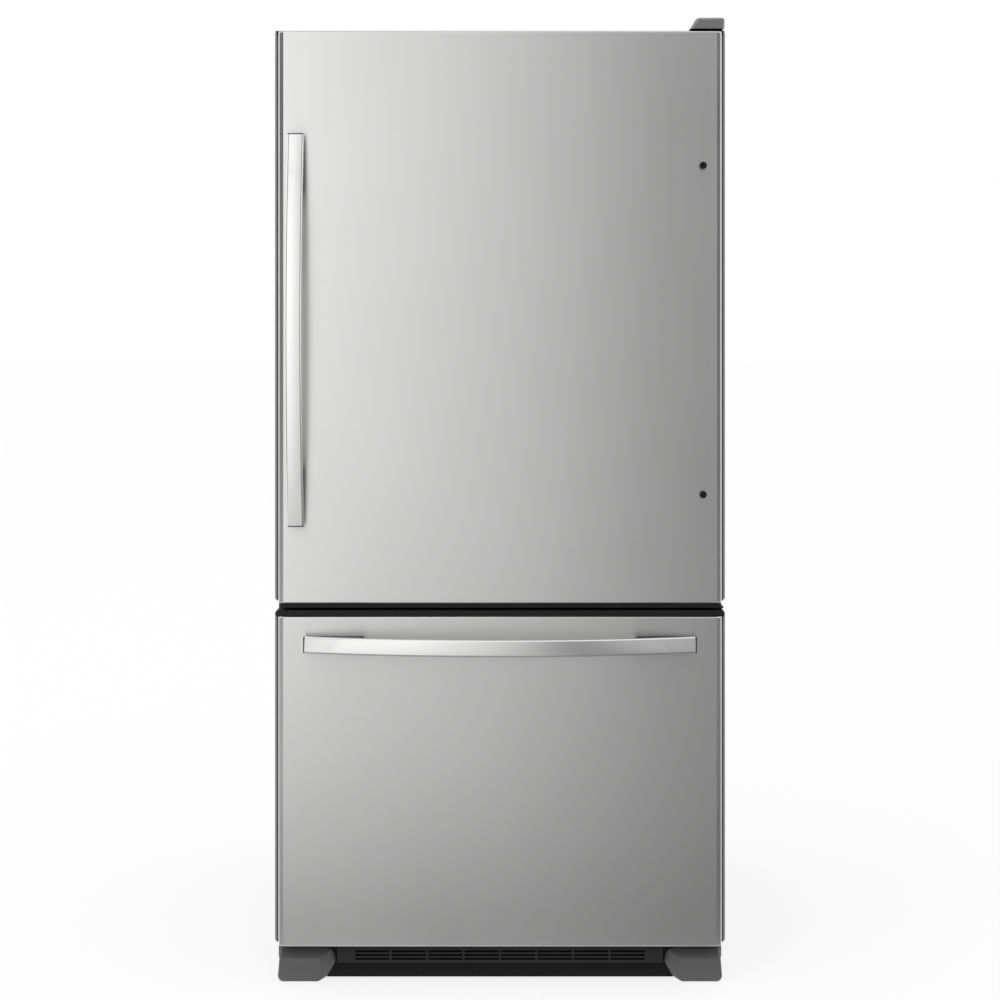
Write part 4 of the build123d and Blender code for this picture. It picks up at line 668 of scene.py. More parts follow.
def brushed(name, base, roughness, stretch, anisotropy, contrast, turn=0.25):
    """Brushed metal whose lines follow the stretch and whose gloss spreads across them."""
    material, tree, shader = blank(name, base, roughness, 1.0)
    lines = place_group(
        tree, "brush_lines", build_brush_lines, {"Stretch": stretch, "Smudge Size": 3.0}
    )
    tint(tree, shader, lines.outputs["Shade"], base, 1 - contrast, 1 + contrast)
    sway(tree, shader, lines.outputs["Smudge"], roughness - SWAY, roughness + SWAY)
    shader.inputs["Anisotropic"].default_value = anisotropy
    shader.inputs["Anisotropic Rotation"].default_value = turn
    emboss(tree, shader, lines.outputs["Height"], 0.02, 0.00005)
    return material


def moulded(
    name, base, roughness, density=1400.0, depth=0.00006, clouds=0.05, coat=0.0, gloss=0.5
):
    """Moulded plastic or textured paint with a fine pebble."""
    material, tree, shader = blank(name, base, roughness)
    skin = place_group(tree, "pebble", build_pebble, {"Density": density, "Cloud Size": 7.0})
    tint(tree, shader, skin.outputs["Cloud"], base, 1 - clouds, 1 + clouds)
    sway(tree, shader, skin.outputs["Cloud"], roughness - SWAY, roughness + SWAY)
    emboss(tree, shader, skin.outputs["Height"], 0.5, depth)
    shader.inputs["Specular IOR Level"].default_value = gloss
    if coat:
        shader.inputs["Coat Weight"].default_value = coat
        shader.inputs["Coat Roughness"].default_value = 0.15
        shader.inputs["Coat IOR"].default_value = 1.9
    return material


@once
def stainless():
    return brushed(
        "brushed_stainless",
        finishes().steel,
        0.31,
        stretch=(0.8, 300.0, 500.0),
        anisotropy=0.85,
        contrast=0.012,
    )


@once
def upright_metal():
    base = finishes().handle
    stretch = (900.0, 900.0, 4.0)
    return brushed("satin_upright", base, 0.22, stretch, anisotropy=0.7, contrast=0.02)


@once
def level_metal():
    base = finishes().handle
    stretch = (4.0, 900.0, 900.0)
    return brushed("satin_level", base, 0.22, stretch, anisotropy=0.5, contrast=0.02)


@once
def cabinet_paint():
    return moulded(
        "textured_paint", finishes().cabinet, 0.42, density=650.0, depth=0.0002, clouds=0.04
    )


@once
def trim_paint():
    return moulded("trim_paint", finishes().trim, 0.38, density=1500.0, depth=0.00004, clouds=0.03)


@once
def black_plastic():
    return moulded(
        "black_plastic",
        finishes().black,
        0.45,
        density=1500.0,
        depth=0.00006,
        clouds=0.1,
        gloss=0.2,
    )


@once
def foot_plastic():
    return moulded(
        "foot_cover_plastic", finishes().foot, 0.42, density=1300.0, depth=0.00006, clouds=0.06
    )


@once
def grille_plastic():
    return moulded(
        "grille_plastic",
        finishes().grille,
        0.5,
        density=1300.0,
        depth=0.00006,
        clouds=0.08,
        gloss=0.2,
    )


# real near-black of the base parts, which also serves as painted shade behind the grille
@once
def base_paint():
    return moulded(
        "base_paint", finishes().base, 0.5, density=900.0, depth=0.0001, clouds=0.1, gloss=0.15
    )


@once
def hinge_plastic():
    return moulded(
        "hinge_cover_plastic",
        finishes().hinge,
        0.18,
        density=1500.0,
        depth=0.00002,
        clouds=0.05,
        coat=1.0,
        gloss=0.8,
    )


@once
def liner_white():
    return moulded(
        "liner_white", finishes().liner, 0.36, density=700.0, depth=0.00002, clouds=0.008
    )


@once
def fitting_white():
    return moulded(
        "fitting_white", finishes().fitting, 0.38, density=900.0, depth=0.00004, clouds=0.02
    )


@once
def gasket_rubber():
    return moulded(
        "gasket_rubber", finishes().gasket, 0.6, density=800.0, depth=0.00008, clouds=0.05
    )


@once
def wheel_plastic():
    return moulded(
        "wheel_plastic", finishes().black, 0.55, density=900.0, depth=0.0001, clouds=0.12
    )


@once
def motor_paint():
    return moulded(
        "motor_paint", finishes().compressor, 0.33, density=260.0, depth=0.0002, clouds=0.15
    )


@once
def zinc_steel():
    base = finishes().zinc
    material, tree, shader = blank("zinc_steel", base, 0.38, 1.0)
    coat = place_group(tree, "spangle", build_spangle, {"Density": 110.0})
    tint(tree, shader, coat.outputs["Shade"], base, 0.95, 1.04)
    sway(tree, shader, coat.outputs["Cloud"], 0.36, 0.42)
    return material


@once
def foam_yellow():
    return moulded("rigid_foam", finishes().foam, 0.9, density=300.0, depth=0.0006, clouds=0.1)


def see_through(name, base, roughness, ior):
    """Clear plastic or glass with faint flow marks."""
    material, tree, shader = blank(name, base, roughness)
    shader.inputs["IOR"].default_value = ior
    shader.inputs["Transmission Weight"].default_value = 1.0
    skin = place_group(tree, "pebble", build_pebble, {"Density": 40.0, "Cloud Size": 5.0})
    sway(tree, shader, skin.outputs["Cloud"], roughness, roughness + 2 * SWAY, start=0.4)
    return material


@once
def clear_plastic():
    return see_through("clear_plastic", finishes().clear, 0.04, 1.49)


@once
def shelf_glass():
    return see_through("shelf_glass", finishes().glass, 0.01, 1.52)


@once
def lamp_lens():
    material, tree, shader = blank("lamp_lens", finishes().lens, 0.35)
    skin = place_group(tree, "pebble", build_pebble, {"Density": 260.0, "Cloud Size": 9.0})
    emboss(tree, shader, skin.outputs["Height"], 0.6, 0.0004)
    shader.inputs["Emission Color"].default_value = (*finishes().lamp, 1.0)
    shader.inputs["Emission Strength"].default_value = 5.0
    return material


@once
def bare_coil():
    base = finishes().coil
    stretch = (40.0, 900.0, 900.0)
    return brushed("coil_aluminium", base, 0.35, stretch, anisotropy=0.0, turn=0.0, contrast=0.06)


# ------------------------------------------------------------------ operators
class StageOperator(bpy.types.Operator):
    """Sets up the camera, the floor and the studio light"""

    bl_idname = "fridge.stage"
    bl_label = "Stage"

    def execute(self, context):
        stage = context.scene.fridge_stage
        door_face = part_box("door_skin")[0].y
        camera = bpy.data.objects.new("camera", bpy.data.cameras.new("camera"))
        context.scene.collection.objects.link(camera)
        camera.location = (0.0, door_face - stage.eye_distance, stage.eye_height)
        camera.rotation_euler = (math.pi / 2, 0.0, 0.0)
        camera.data.lens = stage.focal
        camera.data.shift_y = stage.frame_shift
        context.scene.camera = camera
        context.scene.view_settings.view_transform = "Standard"
        self.floor(stage)
        self.cards(stage)
        self.lamp(stage)
        self.studio(context.scene, stage)
        return {"FINISHED"}

    def floor(self, stage):
        """A plain pale floor that keeps the object's shadow."""
        bm = bmesh.new()
        bmesh.ops.create_grid(bm, x_segments=1, y_segments=1, size=stage.floor_half)
        material, tree, shader = blank("floor_white", (1.0, 1.0, 1.0), 0.8)
        shader.inputs["Specular IOR Level"].default_value = 0.1
        glow = tree.nodes.new("ShaderNodeEmission")
        share = maths(tree, "MULTIPLY", plain_rays(tree), stage.floor_glow)
        mix = tree.nodes.new("ShaderNodeMixShader")
        tree.links.new(share, mix.inputs["Fac"])
        tree.links.new(shader.outputs["BSDF"], mix.inputs[1])
        tree.links.new(glow.outputs["Emission"], mix.inputs[2])
        tree.links.new(mix.outputs["Shader"], tree.nodes["Material Output"].inputs["Surface"])
        stage_object("floor", bm, material)

    def cards(self, stage):
        """Grey cards before the fronts, seen only in their gloss, that shade it to the right."""
        door_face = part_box("door_skin")[0].y
        near = door_face - stage.card_gap
        far = door_face - stage.card_distance
        half, top, lift = stage.card_half, stage.card_top, stage.card_lift
        bm = bmesh.new()
        corners = [
            bm.verts.new(place)
            for place in (
                (-half, near, lift),
                (half, near, lift),
                (half, far, lift),
                (-half, far, lift),
                (half, far, top),
                (-half, far, top),
            )
        ]
        bm.faces.new(corners[:4])
        bm.faces.new((corners[3], corners[2], corners[4], corners[5]))
        material = bpy.data.materials.new("studio_cards")
        material.use_nodes = True
        tree = material.node_tree
        tree.nodes.clear()
        coords = tree.nodes.new("ShaderNodeTexCoord")
        parts = tree.nodes.new("ShaderNodeSeparateXYZ")
        tree.links.new(coords.outputs["Object"], parts.inputs["Vector"])
        share = spread(tree, parts.outputs["X"], 0.0, 1.0, -half, half)
        stops = [((place + half) / (2 * half), level) for place, level in CARD_ACROSS]
        across = grey_ramp(tree, share, stops)
        ahead = maths(tree, "SUBTRACT", near, parts.outputs["Y"])
        way = maths(tree, "ADD", ahead, parts.outputs["Z"])
        share = spread(tree, way, 0.0, 1.0, 0.0, CARD_WAY)
        along = grey_ramp(tree, share, [(place / CARD_WAY, level) for place, level in CARD_ALONG])
        level = maths(tree, "MULTIPLY", across, along)
        level = maths(tree, "MULTIPLY", level, stage.card_level)
        glow = tree.nodes.new("ShaderNodeEmission")
        tree.links.new(level, glow.inputs["Strength"])
        end = tree.nodes.new("ShaderNodeOutputMaterial")
        tree.links.new(glow.outputs["Emission"], end.inputs["Surface"])
        card = stage_object("cards", bm, material)
        for ray in ("camera", "diffuse", "transmission", "volume_scatter", "shadow"):
            setattr(card, f"visible_{ray}", False)

    def lamp(self, stage):
        """One broad soft lamp, high on the left."""
        data = bpy.data.lights.new("soft_lamp", "AREA")
        data.shape = "RECTANGLE"
        data.size = stage.lamp_width
        data.size_y = stage.lamp_height
        data.energy = stage.lamp_power
        lamp = bpy.data.objects.new("soft_lamp", data)
        bpy.context.scene.collection.objects.link(lamp)
        lamp.location = stage.lamp_place
        aim = Vector(stage.lamp_aim) - lamp.location
        lamp.rotation_euler = aim.to_track_quat("-Z", "Y").to_euler()
        lamp.visible_glossy = False

    def studio(self, scene, stage):
        """An even white studio, a little lower where it lights matt surfaces."""
        world = bpy.data.worlds.new("studio")
        scene.world = world
        world.use_nodes = True
        tree = world.node_tree
        backdrop = tree.nodes["Background"]
        backdrop.inputs["Color"].default_value = (1.0, 1.0, 1.0, 1.0)
        level = spread(tree, plain_rays(tree), stage.world_level, 1.0)
        tree.links.new(level, backdrop.inputs["Strength"])


# brightness of the cards by metres from the middle, and by metres along them from the fronts
CARD_ACROSS = (
    (-6.0, 0.04),
    (-3.0, 0.04),
    (-2.75, 0.95),
    (-1.5, 1.0),
    (-0.95, 0.98),
    (-0.75, 0.82),
    (-0.43, 0.745),
    (0.0, 0.63),
    (0.43, 0.44),
    (0.77, 0.28),
    (0.95, 0.21),
    (1.5, 0.38),
    (2.0, 0.50),
    (2.9, 0.38),
    (3.4, 0.08),
    (6.0, 0.05),
)
CARD_WAY = 7.0
CARD_ALONG = (
    (0.0, 0.70),
    (0.06, 0.70),
    (0.09, 0.25),
    (0.27, 0.26),
    (0.6, 0.43),
    (1.0, 0.57),
    (1.8, 0.76),
    (3.2, 0.84),
    (4.3, 0.88),
    (4.9, 0.94),
    (5.5, 1.0),
    (6.3, 1.0),
    (7.0, 0.91),
)


def grey_ramp(tree, share, stops):
    """A ramp of greys over a share from 0 to 1, its stops given as (place, level)."""
    ramp = tree.nodes.new("ShaderNodeValToRGB")
    tree.links.new(share, ramp.inputs["Fac"])
    elements = ramp.color_ramp.elements
    while len(elements) < len(stops):
        elements.new(0.5)
    for element, (place, level) in zip(elements, stops):
        element.position = place
        element.color = (level, level, level, 1.0)
    return ramp.outputs["Color"]


def plain_rays(tree):
    """1 for rays of the camera and for those seen through gloss or glass, else 0."""
    path = tree.nodes.new("ShaderNodeLightPath")
    seen = maths(tree, "MAXIMUM", path.outputs["Is Camera Ray"], path.outputs["Is Glossy Ray"])
    return maths(tree, "MAXIMUM", seen, path.outputs["Is Transmission Ray"])


def stage_object(name, bm, material):
    """An object of the stage, such as the floor."""
    mesh = bpy.data.meshes.new(name)
    bm.to_mesh(mesh)
    bm.free()
    mesh.materials.append(material)
    obj = bpy.data.objects.new(name, mesh)
    bpy.context.scene.collection.objects.link(obj)
    return obj


class CabinetOperator(bpy.types.Operator):
    """Finishes the cabinet's shell, its liners and what works behind them"""

    bl_idname = "fridge.cabinet"
    bl_label = "Cabinet"

    def execute(self, context):
        dress(cabinet_paint(), "cabinet_shell")
        dress(liner_white(), "fresh_food_liner", "freezer_liner")
        dress(base_paint(), "evaporator_fan", "condenser_fan", "drain_pan")
        dress(motor_paint(), "fan_motors", "compressor")
        dress(bare_coil(), "evaporator", "condenser_coil")
        softened("freezer_back_panel", "evaporator_cover", liner_white())
        softened("mullion_rail_cover", "mullion_rail", black_plastic())
        softened("cold_air_duct", "air_duct", liner_white())
        return {"FINISHED"}


class RearOperator(bpy.types.Operator):
    """Models the pressed rear cover, the slotted lower cover and their screws"""

    bl_idname = "fridge.rear"
    bl_label = "Rear covers"

    def execute(self, context):
        bm = copied("rear_covers")
        upper = max(solids(bm), key=lambda box: box[1].z)
        drop(bm, lambda co: co.z > upper[0].z - TOUCH)
        soften(bm, sizes().edge_round)
        piece("rear_lower_cover", bm, zinc_steel(), "rear_covers")
        self.pressed(*upper)
        softened("foam_fill", "foam_insulation", foam_yellow(), shape=self.make_room)
        softened("cabinet_screw_heads", "cabinet_screws", zinc_steel())
        return {"FINISHED"}

    def make_room(self, bm):
        """Draws the foam's back face forward, clear of the cover's pressed panels."""
        clearance = 0.001  # between the foam and the panels
        back = max(v.co.y for v in bm.verts)
        for vert in bm.verts:
            if vert.co.y > back - TOUCH:
                vert.co.y -= sizes().press_depth + clearance

    def pressed(self, low, high):
        """A flat sheet with shallow panels pressed into it, ribs left between them."""
        size = sizes()
        bm = bmesh.new()
        bmesh.ops.create_grid(bm, x_segments=1, y_segments=size.press_count, size=0.5)
        bmesh.ops.rotate(bm, matrix=Matrix.Rotation(math.pi / 2, 3, "X"), verts=bm.verts)
        bmesh.ops.scale(bm, vec=(high.x - low.x, 1.0, high.z - low.z), verts=bm.verts)
        middle = (low + high) / 2
        bmesh.ops.translate(bm, vec=(middle.x, high.y, middle.z), verts=bm.verts)
        bmesh.ops.inset_region(
            bm, faces=bm.faces[:], thickness=size.press_margin, use_boundary=True
        )
        panels = sorted(bm.faces, key=lambda f: -f.calc_area())[: size.press_count]
        for width in (size.press_rib, 2 * size.press_depth):
            bmesh.ops.inset_individual(bm, faces=panels, thickness=width, use_even_offset=True)
        sunk = {v for panel in panels for v in panel.verts}
        bmesh.ops.translate(bm, vec=(0.0, -size.press_depth, 0.0), verts=list(sunk))
        least_fold = 0.1  # radians
        folds = [e for e in bm.edges if e.is_manifold and e.calc_face_angle(0.0) > least_fold]
        round_edges(bm, folds, size.press_fold)
        bmesh.ops.recalc_face_normals(bm, faces=bm.faces)
        if sum(f.normal.y * f.calc_area() for f in bm.faces) < 0:
            bmesh.ops.reverse_faces(bm, faces=bm.faces[:])
        bmesh.ops.solidify(bm, geom=bm.faces[:], thickness=size.sheet)
        piece("rear_upper_cover", bm, zinc_steel(), "rear_covers", sharp=50.0)


class BaseOperator(bpy.types.Operator):
    """Models the base grille, the front foot covers, the legs and the rollers, with a plate of
    painted shade behind the grille
    """

    bl_idname = "fridge.base"
    bl_label = "Base"

    def execute(self, context):
        dress(wheel_plastic(), "roller_left", "roller_right")
        dress(base_paint(), "base_frame")
        softened("roller_forks", "roller_brackets", zinc_steel())
        softened("front_legs", "leveling_legs", zinc_steel())
        bm = copied("base_grille")
        left, grille, right = sorted(solids(bm), key=lambda box: box[0].x)
        self.grille_panel(bm, *grille)
        # a near-black plate of painted shade closes the view under the cabinet
        self.painted_shade_plate(*grille)
        self.foot_cover("foot_cover_left", *left)
        self.foot_cover("foot_cover_right", *right)
        return {"FINISHED"}

    def grille_panel(self, bm, low, high):
        """The slotted panel between the foot covers, cut off above the floor."""
        drop(bm, lambda co: not low.x - TOUCH < co.x < high.x + TOUCH)
        cut(bm, (0.0, 0.0, sizes().grille_foot), (0.0, 0.0, 1.0), clear_inner=True)
        bmesh.ops.holes_fill(bm, edges=[e for e in bm.edges if e.is_boundary], sides=0)
        soften(bm, sizes().edge_round)
        piece("base_grille_panel", bm, grille_plastic(), "base_grille")

    def painted_shade_plate(self, low, high):
        """A near-black plate behind the grille, a sheet of painted shade that darkens the view under
        the cabinet.
        """
        size = sizes()
        bm = bmesh.new()
        slab(
            bm,
            (low.x - size.shade_plate_reach, low.y + size.shade_plate_recess, low.z - size.shade_plate_hang),
            (
                high.x + size.shade_plate_reach,
                low.y + size.shade_plate_recess + size.shade_plate_sheet,
                high.z - size.shade_plate_drop,
            ),
            size.edge_round,
        )
        piece("painted_shade_plate", bm, base_paint(), "base_grille")

    def foot_cover(self, name, low, high):
        """A soft block whose top slopes back under the drawer, flared towards the grille."""
        outward = math.copysign(1.0, low.x)
        outer = high.x if outward > 0 else low.x
        bm = bmesh.new()
        points = [
            (outer - outward * inset, low.y + depth, low.z + height)
            for inset, depth, height in FOOT_COVER_BACK
        ]
        outline = prism(bm, points, 1, high.y)
        middle = bm.faces.get(outline)
        front = bmesh.ops.extrude_face_region(bm, geom=[middle])["geom"]
        for vert in verts_of(front):
            nearest = min(outline, key=lambda v: (v.co - vert.co).length)
            inset, height = FOOT_COVER_FRONT[outline.index(nearest)]
            vert.co = Vector((outer - outward * inset, low.y, low.z + height))
        bmesh.ops.delete(bm, geom=[middle], context="FACES_ONLY")
        bmesh.ops.recalc_face_normals(bm, faces=bm.faces)
        shown = [e for e in bm.edges if min(v.co.y for v in e.verts) < high.y - TOUCH]
        round_edges(bm, shown, sizes().boot_round, 5)
        piece(name, bm, foot_plastic(), "base_grille", sharp=60.0)


# a foot cover's outline as (inset from its outer side, depth, height), and its front's
FOOT_COVER_BACK = (
    (0.0040, 0.026, 0.0635),
    (0.0, 0.022, 0.007),
    (0.0070, 0.022, 0.0),
    (0.0890, 0.018, 0.001),
    (0.0965, 0.017, 0.010),
    (0.1080, 0.016, 0.031),
    (0.1080, 0.026, 0.0600),
)
FOOT_COVER_FRONT = (
    (0.0050, 0.040),
    (0.0020, 0.0060),
    (0.0080, -0.0010),
    (0.0765, -0.0010),
    (0.0820, 0.0060),
    (0.0830, 0.026),
    (0.0800, 0.040),
)


class FrontsOperator(bpy.types.Operator):
    """Models the stainless fronts, their side trims, end caps, liners and fixing studs"""

    bl_idname = "fridge.fronts"
    bl_label = "Fronts"

    def execute(self, context):
        for leaf in ("door", "drawer"):
            self.sheet(leaf)
            self.trims(leaf)
            softened(
                f"{leaf}_end_caps", f"{leaf}_caps", black_plastic(), shape=self.clear_crown
            )
            softened(
                f"{leaf}_foam_fill", f"{leaf}_foam", foam_yellow(), shape=self.clear_crown
            )
            softened(f"{leaf}_inner_panel", f"{leaf}_liner", liner_white(), sizes().panel_round)
        softened("door_fixing_studs", "door_studs", black_plastic(), sizes().fine_round)
        return {"FINISHED"}

    def clear_crown(self, bm):
        """Draws the outer front corners back, clear of the sheet's sloping sides."""
        face_depth = 0.003  # what is nearer to the front than this moves
        fall = 0.0065  # how far it moves back
        front = min(v.co.y for v in bm.verts)
        half = max(v.co.x for v in bm.verts) - 2 * sizes().crown_band
        for side in (-half, half):
            cut(bm, (side, 0.0, 0.0), (1.0, 0.0, 0.0))
        for vert in bm.verts:
            if vert.co.y < front + face_depth and abs(vert.co.x) > half + TOUCH:
                vert.co.y += fall

    def trims(self, leaf):
        """Mouldings beside the sheet, with a groove next to it and rounded lower ends."""
        size = sizes()
        node = f"{leaf}_side_trims"
        low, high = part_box(node)
        skin_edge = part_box(f"{leaf}_skin")[1]
        edge = skin_edge.x + size.trim_gap
        toe = edge - size.trim_toe
        rebate = high.y - size.trim_rebate
        profile = (
            (high.x, high.y),
            (high.x, low.y),
            (edge + size.trim_seam, low.y),
            (edge, low.y + size.trim_groove),
            (edge, rebate),
            (toe, rebate),
            (toe, high.y),
        )
        foot = low.z - size.trim_end
        top = min(high.z + size.trim_end, skin_edge.z) - size.trim_play
        bm = bmesh.new()
        for side in (-1, 1):
            for vert in prism(bm, [(side * x, y, foot) for x, y in profile], 2, top):
                out = max(abs(vert.co.x) - edge, 0.0) / (high.x - edge)
                vert.co.z += size.trim_round * out * out
        bmesh.ops.recalc_face_normals(bm, faces=bm.faces)
        soften(bm, size.trim_edge, segments=3, least=30.0)
        piece(f"{leaf}_trims", bm, trim_paint(), node)

    def sheet(self, leaf):
        """The wrapped sheet: a flat face, crowned towards its sides, and hemmed at its ends."""
        size = sizes()
        node = f"{leaf}_skin"
        low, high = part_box(node)
        bm = bmesh.new()
        slab(bm, low, high)
        back = [f for f in bm.faces if f.normal.y > FACING]
        bmesh.ops.delete(bm, geom=back, context="FACES_ONLY")
        edges = edges_at(bm, lambda co: co.y < low.y + TOUCH)
        round_edges(bm, edges, size.sheet_roll, 8)
        cuts = 3
        for step in range(cuts + 1):
            inset = size.crown_band - step * size.crown_ease / cuts
            for side in (-1, 1):
                cut(bm, (side * (high.x - inset), 0.0, 0.0), (1.0, 0.0, 0.0))
        cut(bm, (0.0, low.y + size.sheet_hem, 0.0), (0.0, 1.0, 0.0))
        for vert in bm.verts:
            into = size.crown_band - (high.x - abs(vert.co.x))
            if into > 0 and vert.co.y < low.y + size.sheet_hem - TOUCH:
                eased = min(into, size.crown_ease)
                fall = into - eased + eased * eased / (2 * size.crown_ease)
                vert.co.y += size.crown_slope * fall
        hidden = [
            f
            for f in bm.faces
            if abs(f.normal.z) > FACING and f.calc_center_median().y > low.y + size.sheet_hem
        ]
        bmesh.ops.delete(bm, geom=hidden, context="FACES")
        bmesh.ops.recalc_face_normals(bm, faces=bm.faces)
        bmesh.ops.solidify(bm, geom=bm.faces[:], thickness=size.sheet)
        piece(f"{leaf}_front_sheet", bm, stainless(), node, sharp=45.0)


class SealsOperator(bpy.types.Operator):
    """Models the magnetic seals, with a bellows between foot and magnet"""

    bl_idname = "fridge.seals"
    bl_label = "Seals"

    def execute(self, context):
        for leaf in ("door", "drawer"):
            node = f"{leaf}_gasket"
            low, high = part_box(node)
            depth = high.y - low.y
            section = [(inset, share * depth) for inset, share in SEAL_SECTION]
            bm = frame_ring(section, low, high)
            piece(f"{leaf}_seal", bm, gasket_rubber(), node, sharp=30.0)
        return {"FINISHED"}


# the seal's section as (inset from its outside in metres, share of its depth)
SEAL_SECTION = (
    (0.0, 0.0),
    (0.0, 0.16),
    (0.0045, 0.22),
    (0.0062, 0.34),
    (0.0030, 0.46),
    (0.0014, 0.58),
    (0.0012, 0.90),
    (0.0022, 1.0),
    (0.0158, 1.0),
    (0.0168, 0.90),
    (0.0166, 0.58),
    (0.0148, 0.46),
    (0.0122, 0.34),
    (0.0150, 0.22),
    (0.0240, 0.14),
    (0.0240, 0.0),
)


class HingesOperator(bpy.types.Operator):
    """Models the hinge cover and finishes both hinges"""

    bl_idname = "fridge.hinges"
    bl_label = "Hinges"

    def execute(self, context):
        softened("upper_hinge_plate", "top_hinge", black_plastic())
        softened("middle_hinge_plate", "center_hinge", black_plastic())
        self.cover()
        return {"FINISHED"}

    def cover(self):
        """A moulded cap with one sloping side, hollow below and raised over the door."""
        size = sizes()
        low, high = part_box("hinge_cover")
        cabinet_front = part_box("cabinet_shell")[0].y
        rise = low.z + size.cover_rise
        outline = (
            (low.x, low.y, low.z),
            (low.x + size.cover_slope, low.y, high.z),
            (high.x, low.y, high.z),
            (high.x - size.cover_draft, low.y, low.z),
        )
        bm = bmesh.new()
        prism(bm, outline, 1, high.y)
        bmesh.ops.recalc_face_normals(bm, faces=bm.faces)
        crest = edges_at(bm, lambda co: co.z > high.z - TOUCH)
        front = edges_at(bm, lambda co: co.y < low.y + TOUCH)
        foot = edges_at(bm, lambda co: co.z < low.z + TOUCH)
        rounded = [e for e in bm.edges if e in crest or (e in front and e not in foot)]
        round_edges(bm, rounded, size.cover_round, 5)
        bottom = [f for f in bm.faces if f.normal.z < -FACING]
        bmesh.ops.delete(bm, geom=bottom, context="FACES_ONLY")
        cut(bm, (0.0, 0.0, rise), (0.0, 0.0, 1.0))
        cut(bm, (0.0, cabinet_front, 0.0), (0.0, 1.0, 0.0))
        centres = ((f, f.calc_center_median()) for f in bm.faces)
        over_door = [f for f, centre in centres if centre.y < cabinet_front and centre.z < rise]
        bmesh.ops.delete(bm, geom=over_door, context="FACES")
        bmesh.ops.solidify(bm, geom=bm.faces[:], thickness=size.cover_wall)
        piece("hinge_cover_cap", bm, hinge_plastic(), "hinge_cover", sharp=50.0)


class HandlesOperator(bpy.types.Operator):
    """Models the two bowed handle bars and finishes their feet"""

    bl_idname = "fridge.handles"
    bl_label = "Handles"

    def execute(self, context):
        self.bar("door_handle_bar", "door_handle", 2, upright_metal())
        self.bar("drawer_handle_bar", "drawer_handle", 0, level_metal())
        for leaf in ("door", "drawer"):
            feet, round_off = f"{leaf}_handle_feet", sizes().foot_round
            softened(f"{leaf}_handle_mounts", feet, black_plastic(), round_off)
        return {"FINISHED"}

    def bar(self, name, node, along, material):
        """A rounded and crowned section swung through the handle's bow."""
        size = sizes()
        low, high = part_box(node)
        centre = (low + high) / 2
        half_length = (high[along] - low[along]) / 2
        thickness = size.handle_thickness
        bow = (high.y - low.y) - thickness
        radius = (half_length**2 + bow**2) / (2 * bow)
        sweep = 2 * math.asin(half_length / radius)
        width_axis = 0 if along == 2 else 2
        half_width = (high[width_axis] - low[width_axis]) / 2
        bm = bmesh.new()
        section = bmesh.ops.create_grid(bm, x_segments=8, y_segments=1, size=0.5)["verts"]
        bmesh.ops.scale(bm, vec=(2 * half_width, thickness, 1.0), verts=section)
        corners = [v for v in section if len(v.link_edges) == 2]
        bmesh.ops.bevel(
            bm,
            geom=corners,
            offset=size.handle_round,
            segments=6,
            profile=0.5,
            affect="VERTICES",
            material=-1,
        )
        for vert in bm.verts:
            if vert.co.y < 0:
                across = vert.co.x / half_width
                vert.co.y += size.handle_crown * across**2
                if along == 0:
                    vert.co.y += size.handle_lean * (1 - across) / 2
        middle = low.y + thickness / 2
        turn_to_axis = Matrix.Identity(4)
        if along == 0:
            turn_to_axis = Matrix.Rotation(math.pi / 2, 4, "Y")
        place = Matrix.Translation(Vector((centre.x, middle, centre.z))) @ turn_to_axis
        bmesh.ops.transform(bm, matrix=place, verts=bm.verts)
        axis = (1.0, 0.0, 0.0) if along == 2 else (0.0, 0.0, 1.0)
        pivot = Vector((centre.x, middle + radius - thickness / 2, centre.z))
        start = Matrix.Rotation(-sweep / 2, 3, Vector(axis))
        bmesh.ops.rotate(bm, cent=pivot, matrix=start, verts=bm.verts)
        swing(bm, pivot, axis, size.bow_steps, sweep)
        piece(name, bm, material, node, sharp=50.0)


class ShelvesOperator(bpy.types.Operator):
    """Models the shelf frames with rounded fronts, and their glass"""

    bl_idname = "fridge.shelves"
    bl_label = "Shelves"

    def execute(self, context):
        softened("cantilever_shelves", "shelf_frames", fitting_white(), shape=self.bull_nose)
        softened("shelf_panes", "shelf_glass", shelf_glass(), sizes().glass_round)
        return {"FINISHED"}

    def bull_nose(self, bm):
        """Rounds the front of each shelf more than its other edges."""
        shelf_run = 0.5  # nothing but a shelf is wider than this
        fronts = {round(low.y, 5) for low, high in solids(bm) if high.x - low.x > shelf_run}
        nose = [
            e
            for e in edges_along(bm, 0)
            if round(e.verts[0].co.y, 5) in fronts and e.calc_length() > shelf_run
        ]
        round_edges(bm, nose, sizes().shelf_nose, 4)


class BinsOperator(bpy.types.Operator):
    """Models the door bins, the dairy box's lid and both crispers"""

    bl_idname = "fridge.bins"
    bl_label = "Bins"

    def execute(self, context):
        bm = copied("door_bins")
        boxes = sorted(solids(bm), key=lambda box: box[1].z)
        dairy = boxes[-1]
        drop(bm, lambda co: co.z < dairy[0].z - TOUCH or co.x > dairy[1].x + TOUCH)
        for low, high in boxes[:-1]:
            absorb(bm, tub(low, high))
        piece("door_bin_set", bm, clear_plastic(), "door_bins", sharp=40.0)
        softened("dairy_box_lid", "dairy_lid", clear_plastic())
        for side in ("left", "right"):
            dress(clear_plastic(), f"crisper_{side}")
            softened(f"humidity_tab_{side}", f"humidity_slider_{side}", fitting_white())
        return {"FINISHED"}


class BasketsOperator(bpy.types.Operator):
    """Finishes the freezer's baskets and the slides that carry them"""

    bl_idname = "fridge.baskets"
    bl_label = "Baskets"

    def execute(self, context):
        softened("lower_freezer_basket", "lower_basket", fitting_white())
        softened("upper_freezer_basket", "upper_basket", fitting_white())
        softened("slide_rails_fixed", "fixed_slides", zinc_steel())
        softened("slide_rails_middle", "middle_slides", zinc_steel())
        softened("slide_rails_drawer", "drawer_rails", zinc_steel())
        return {"FINISHED"}


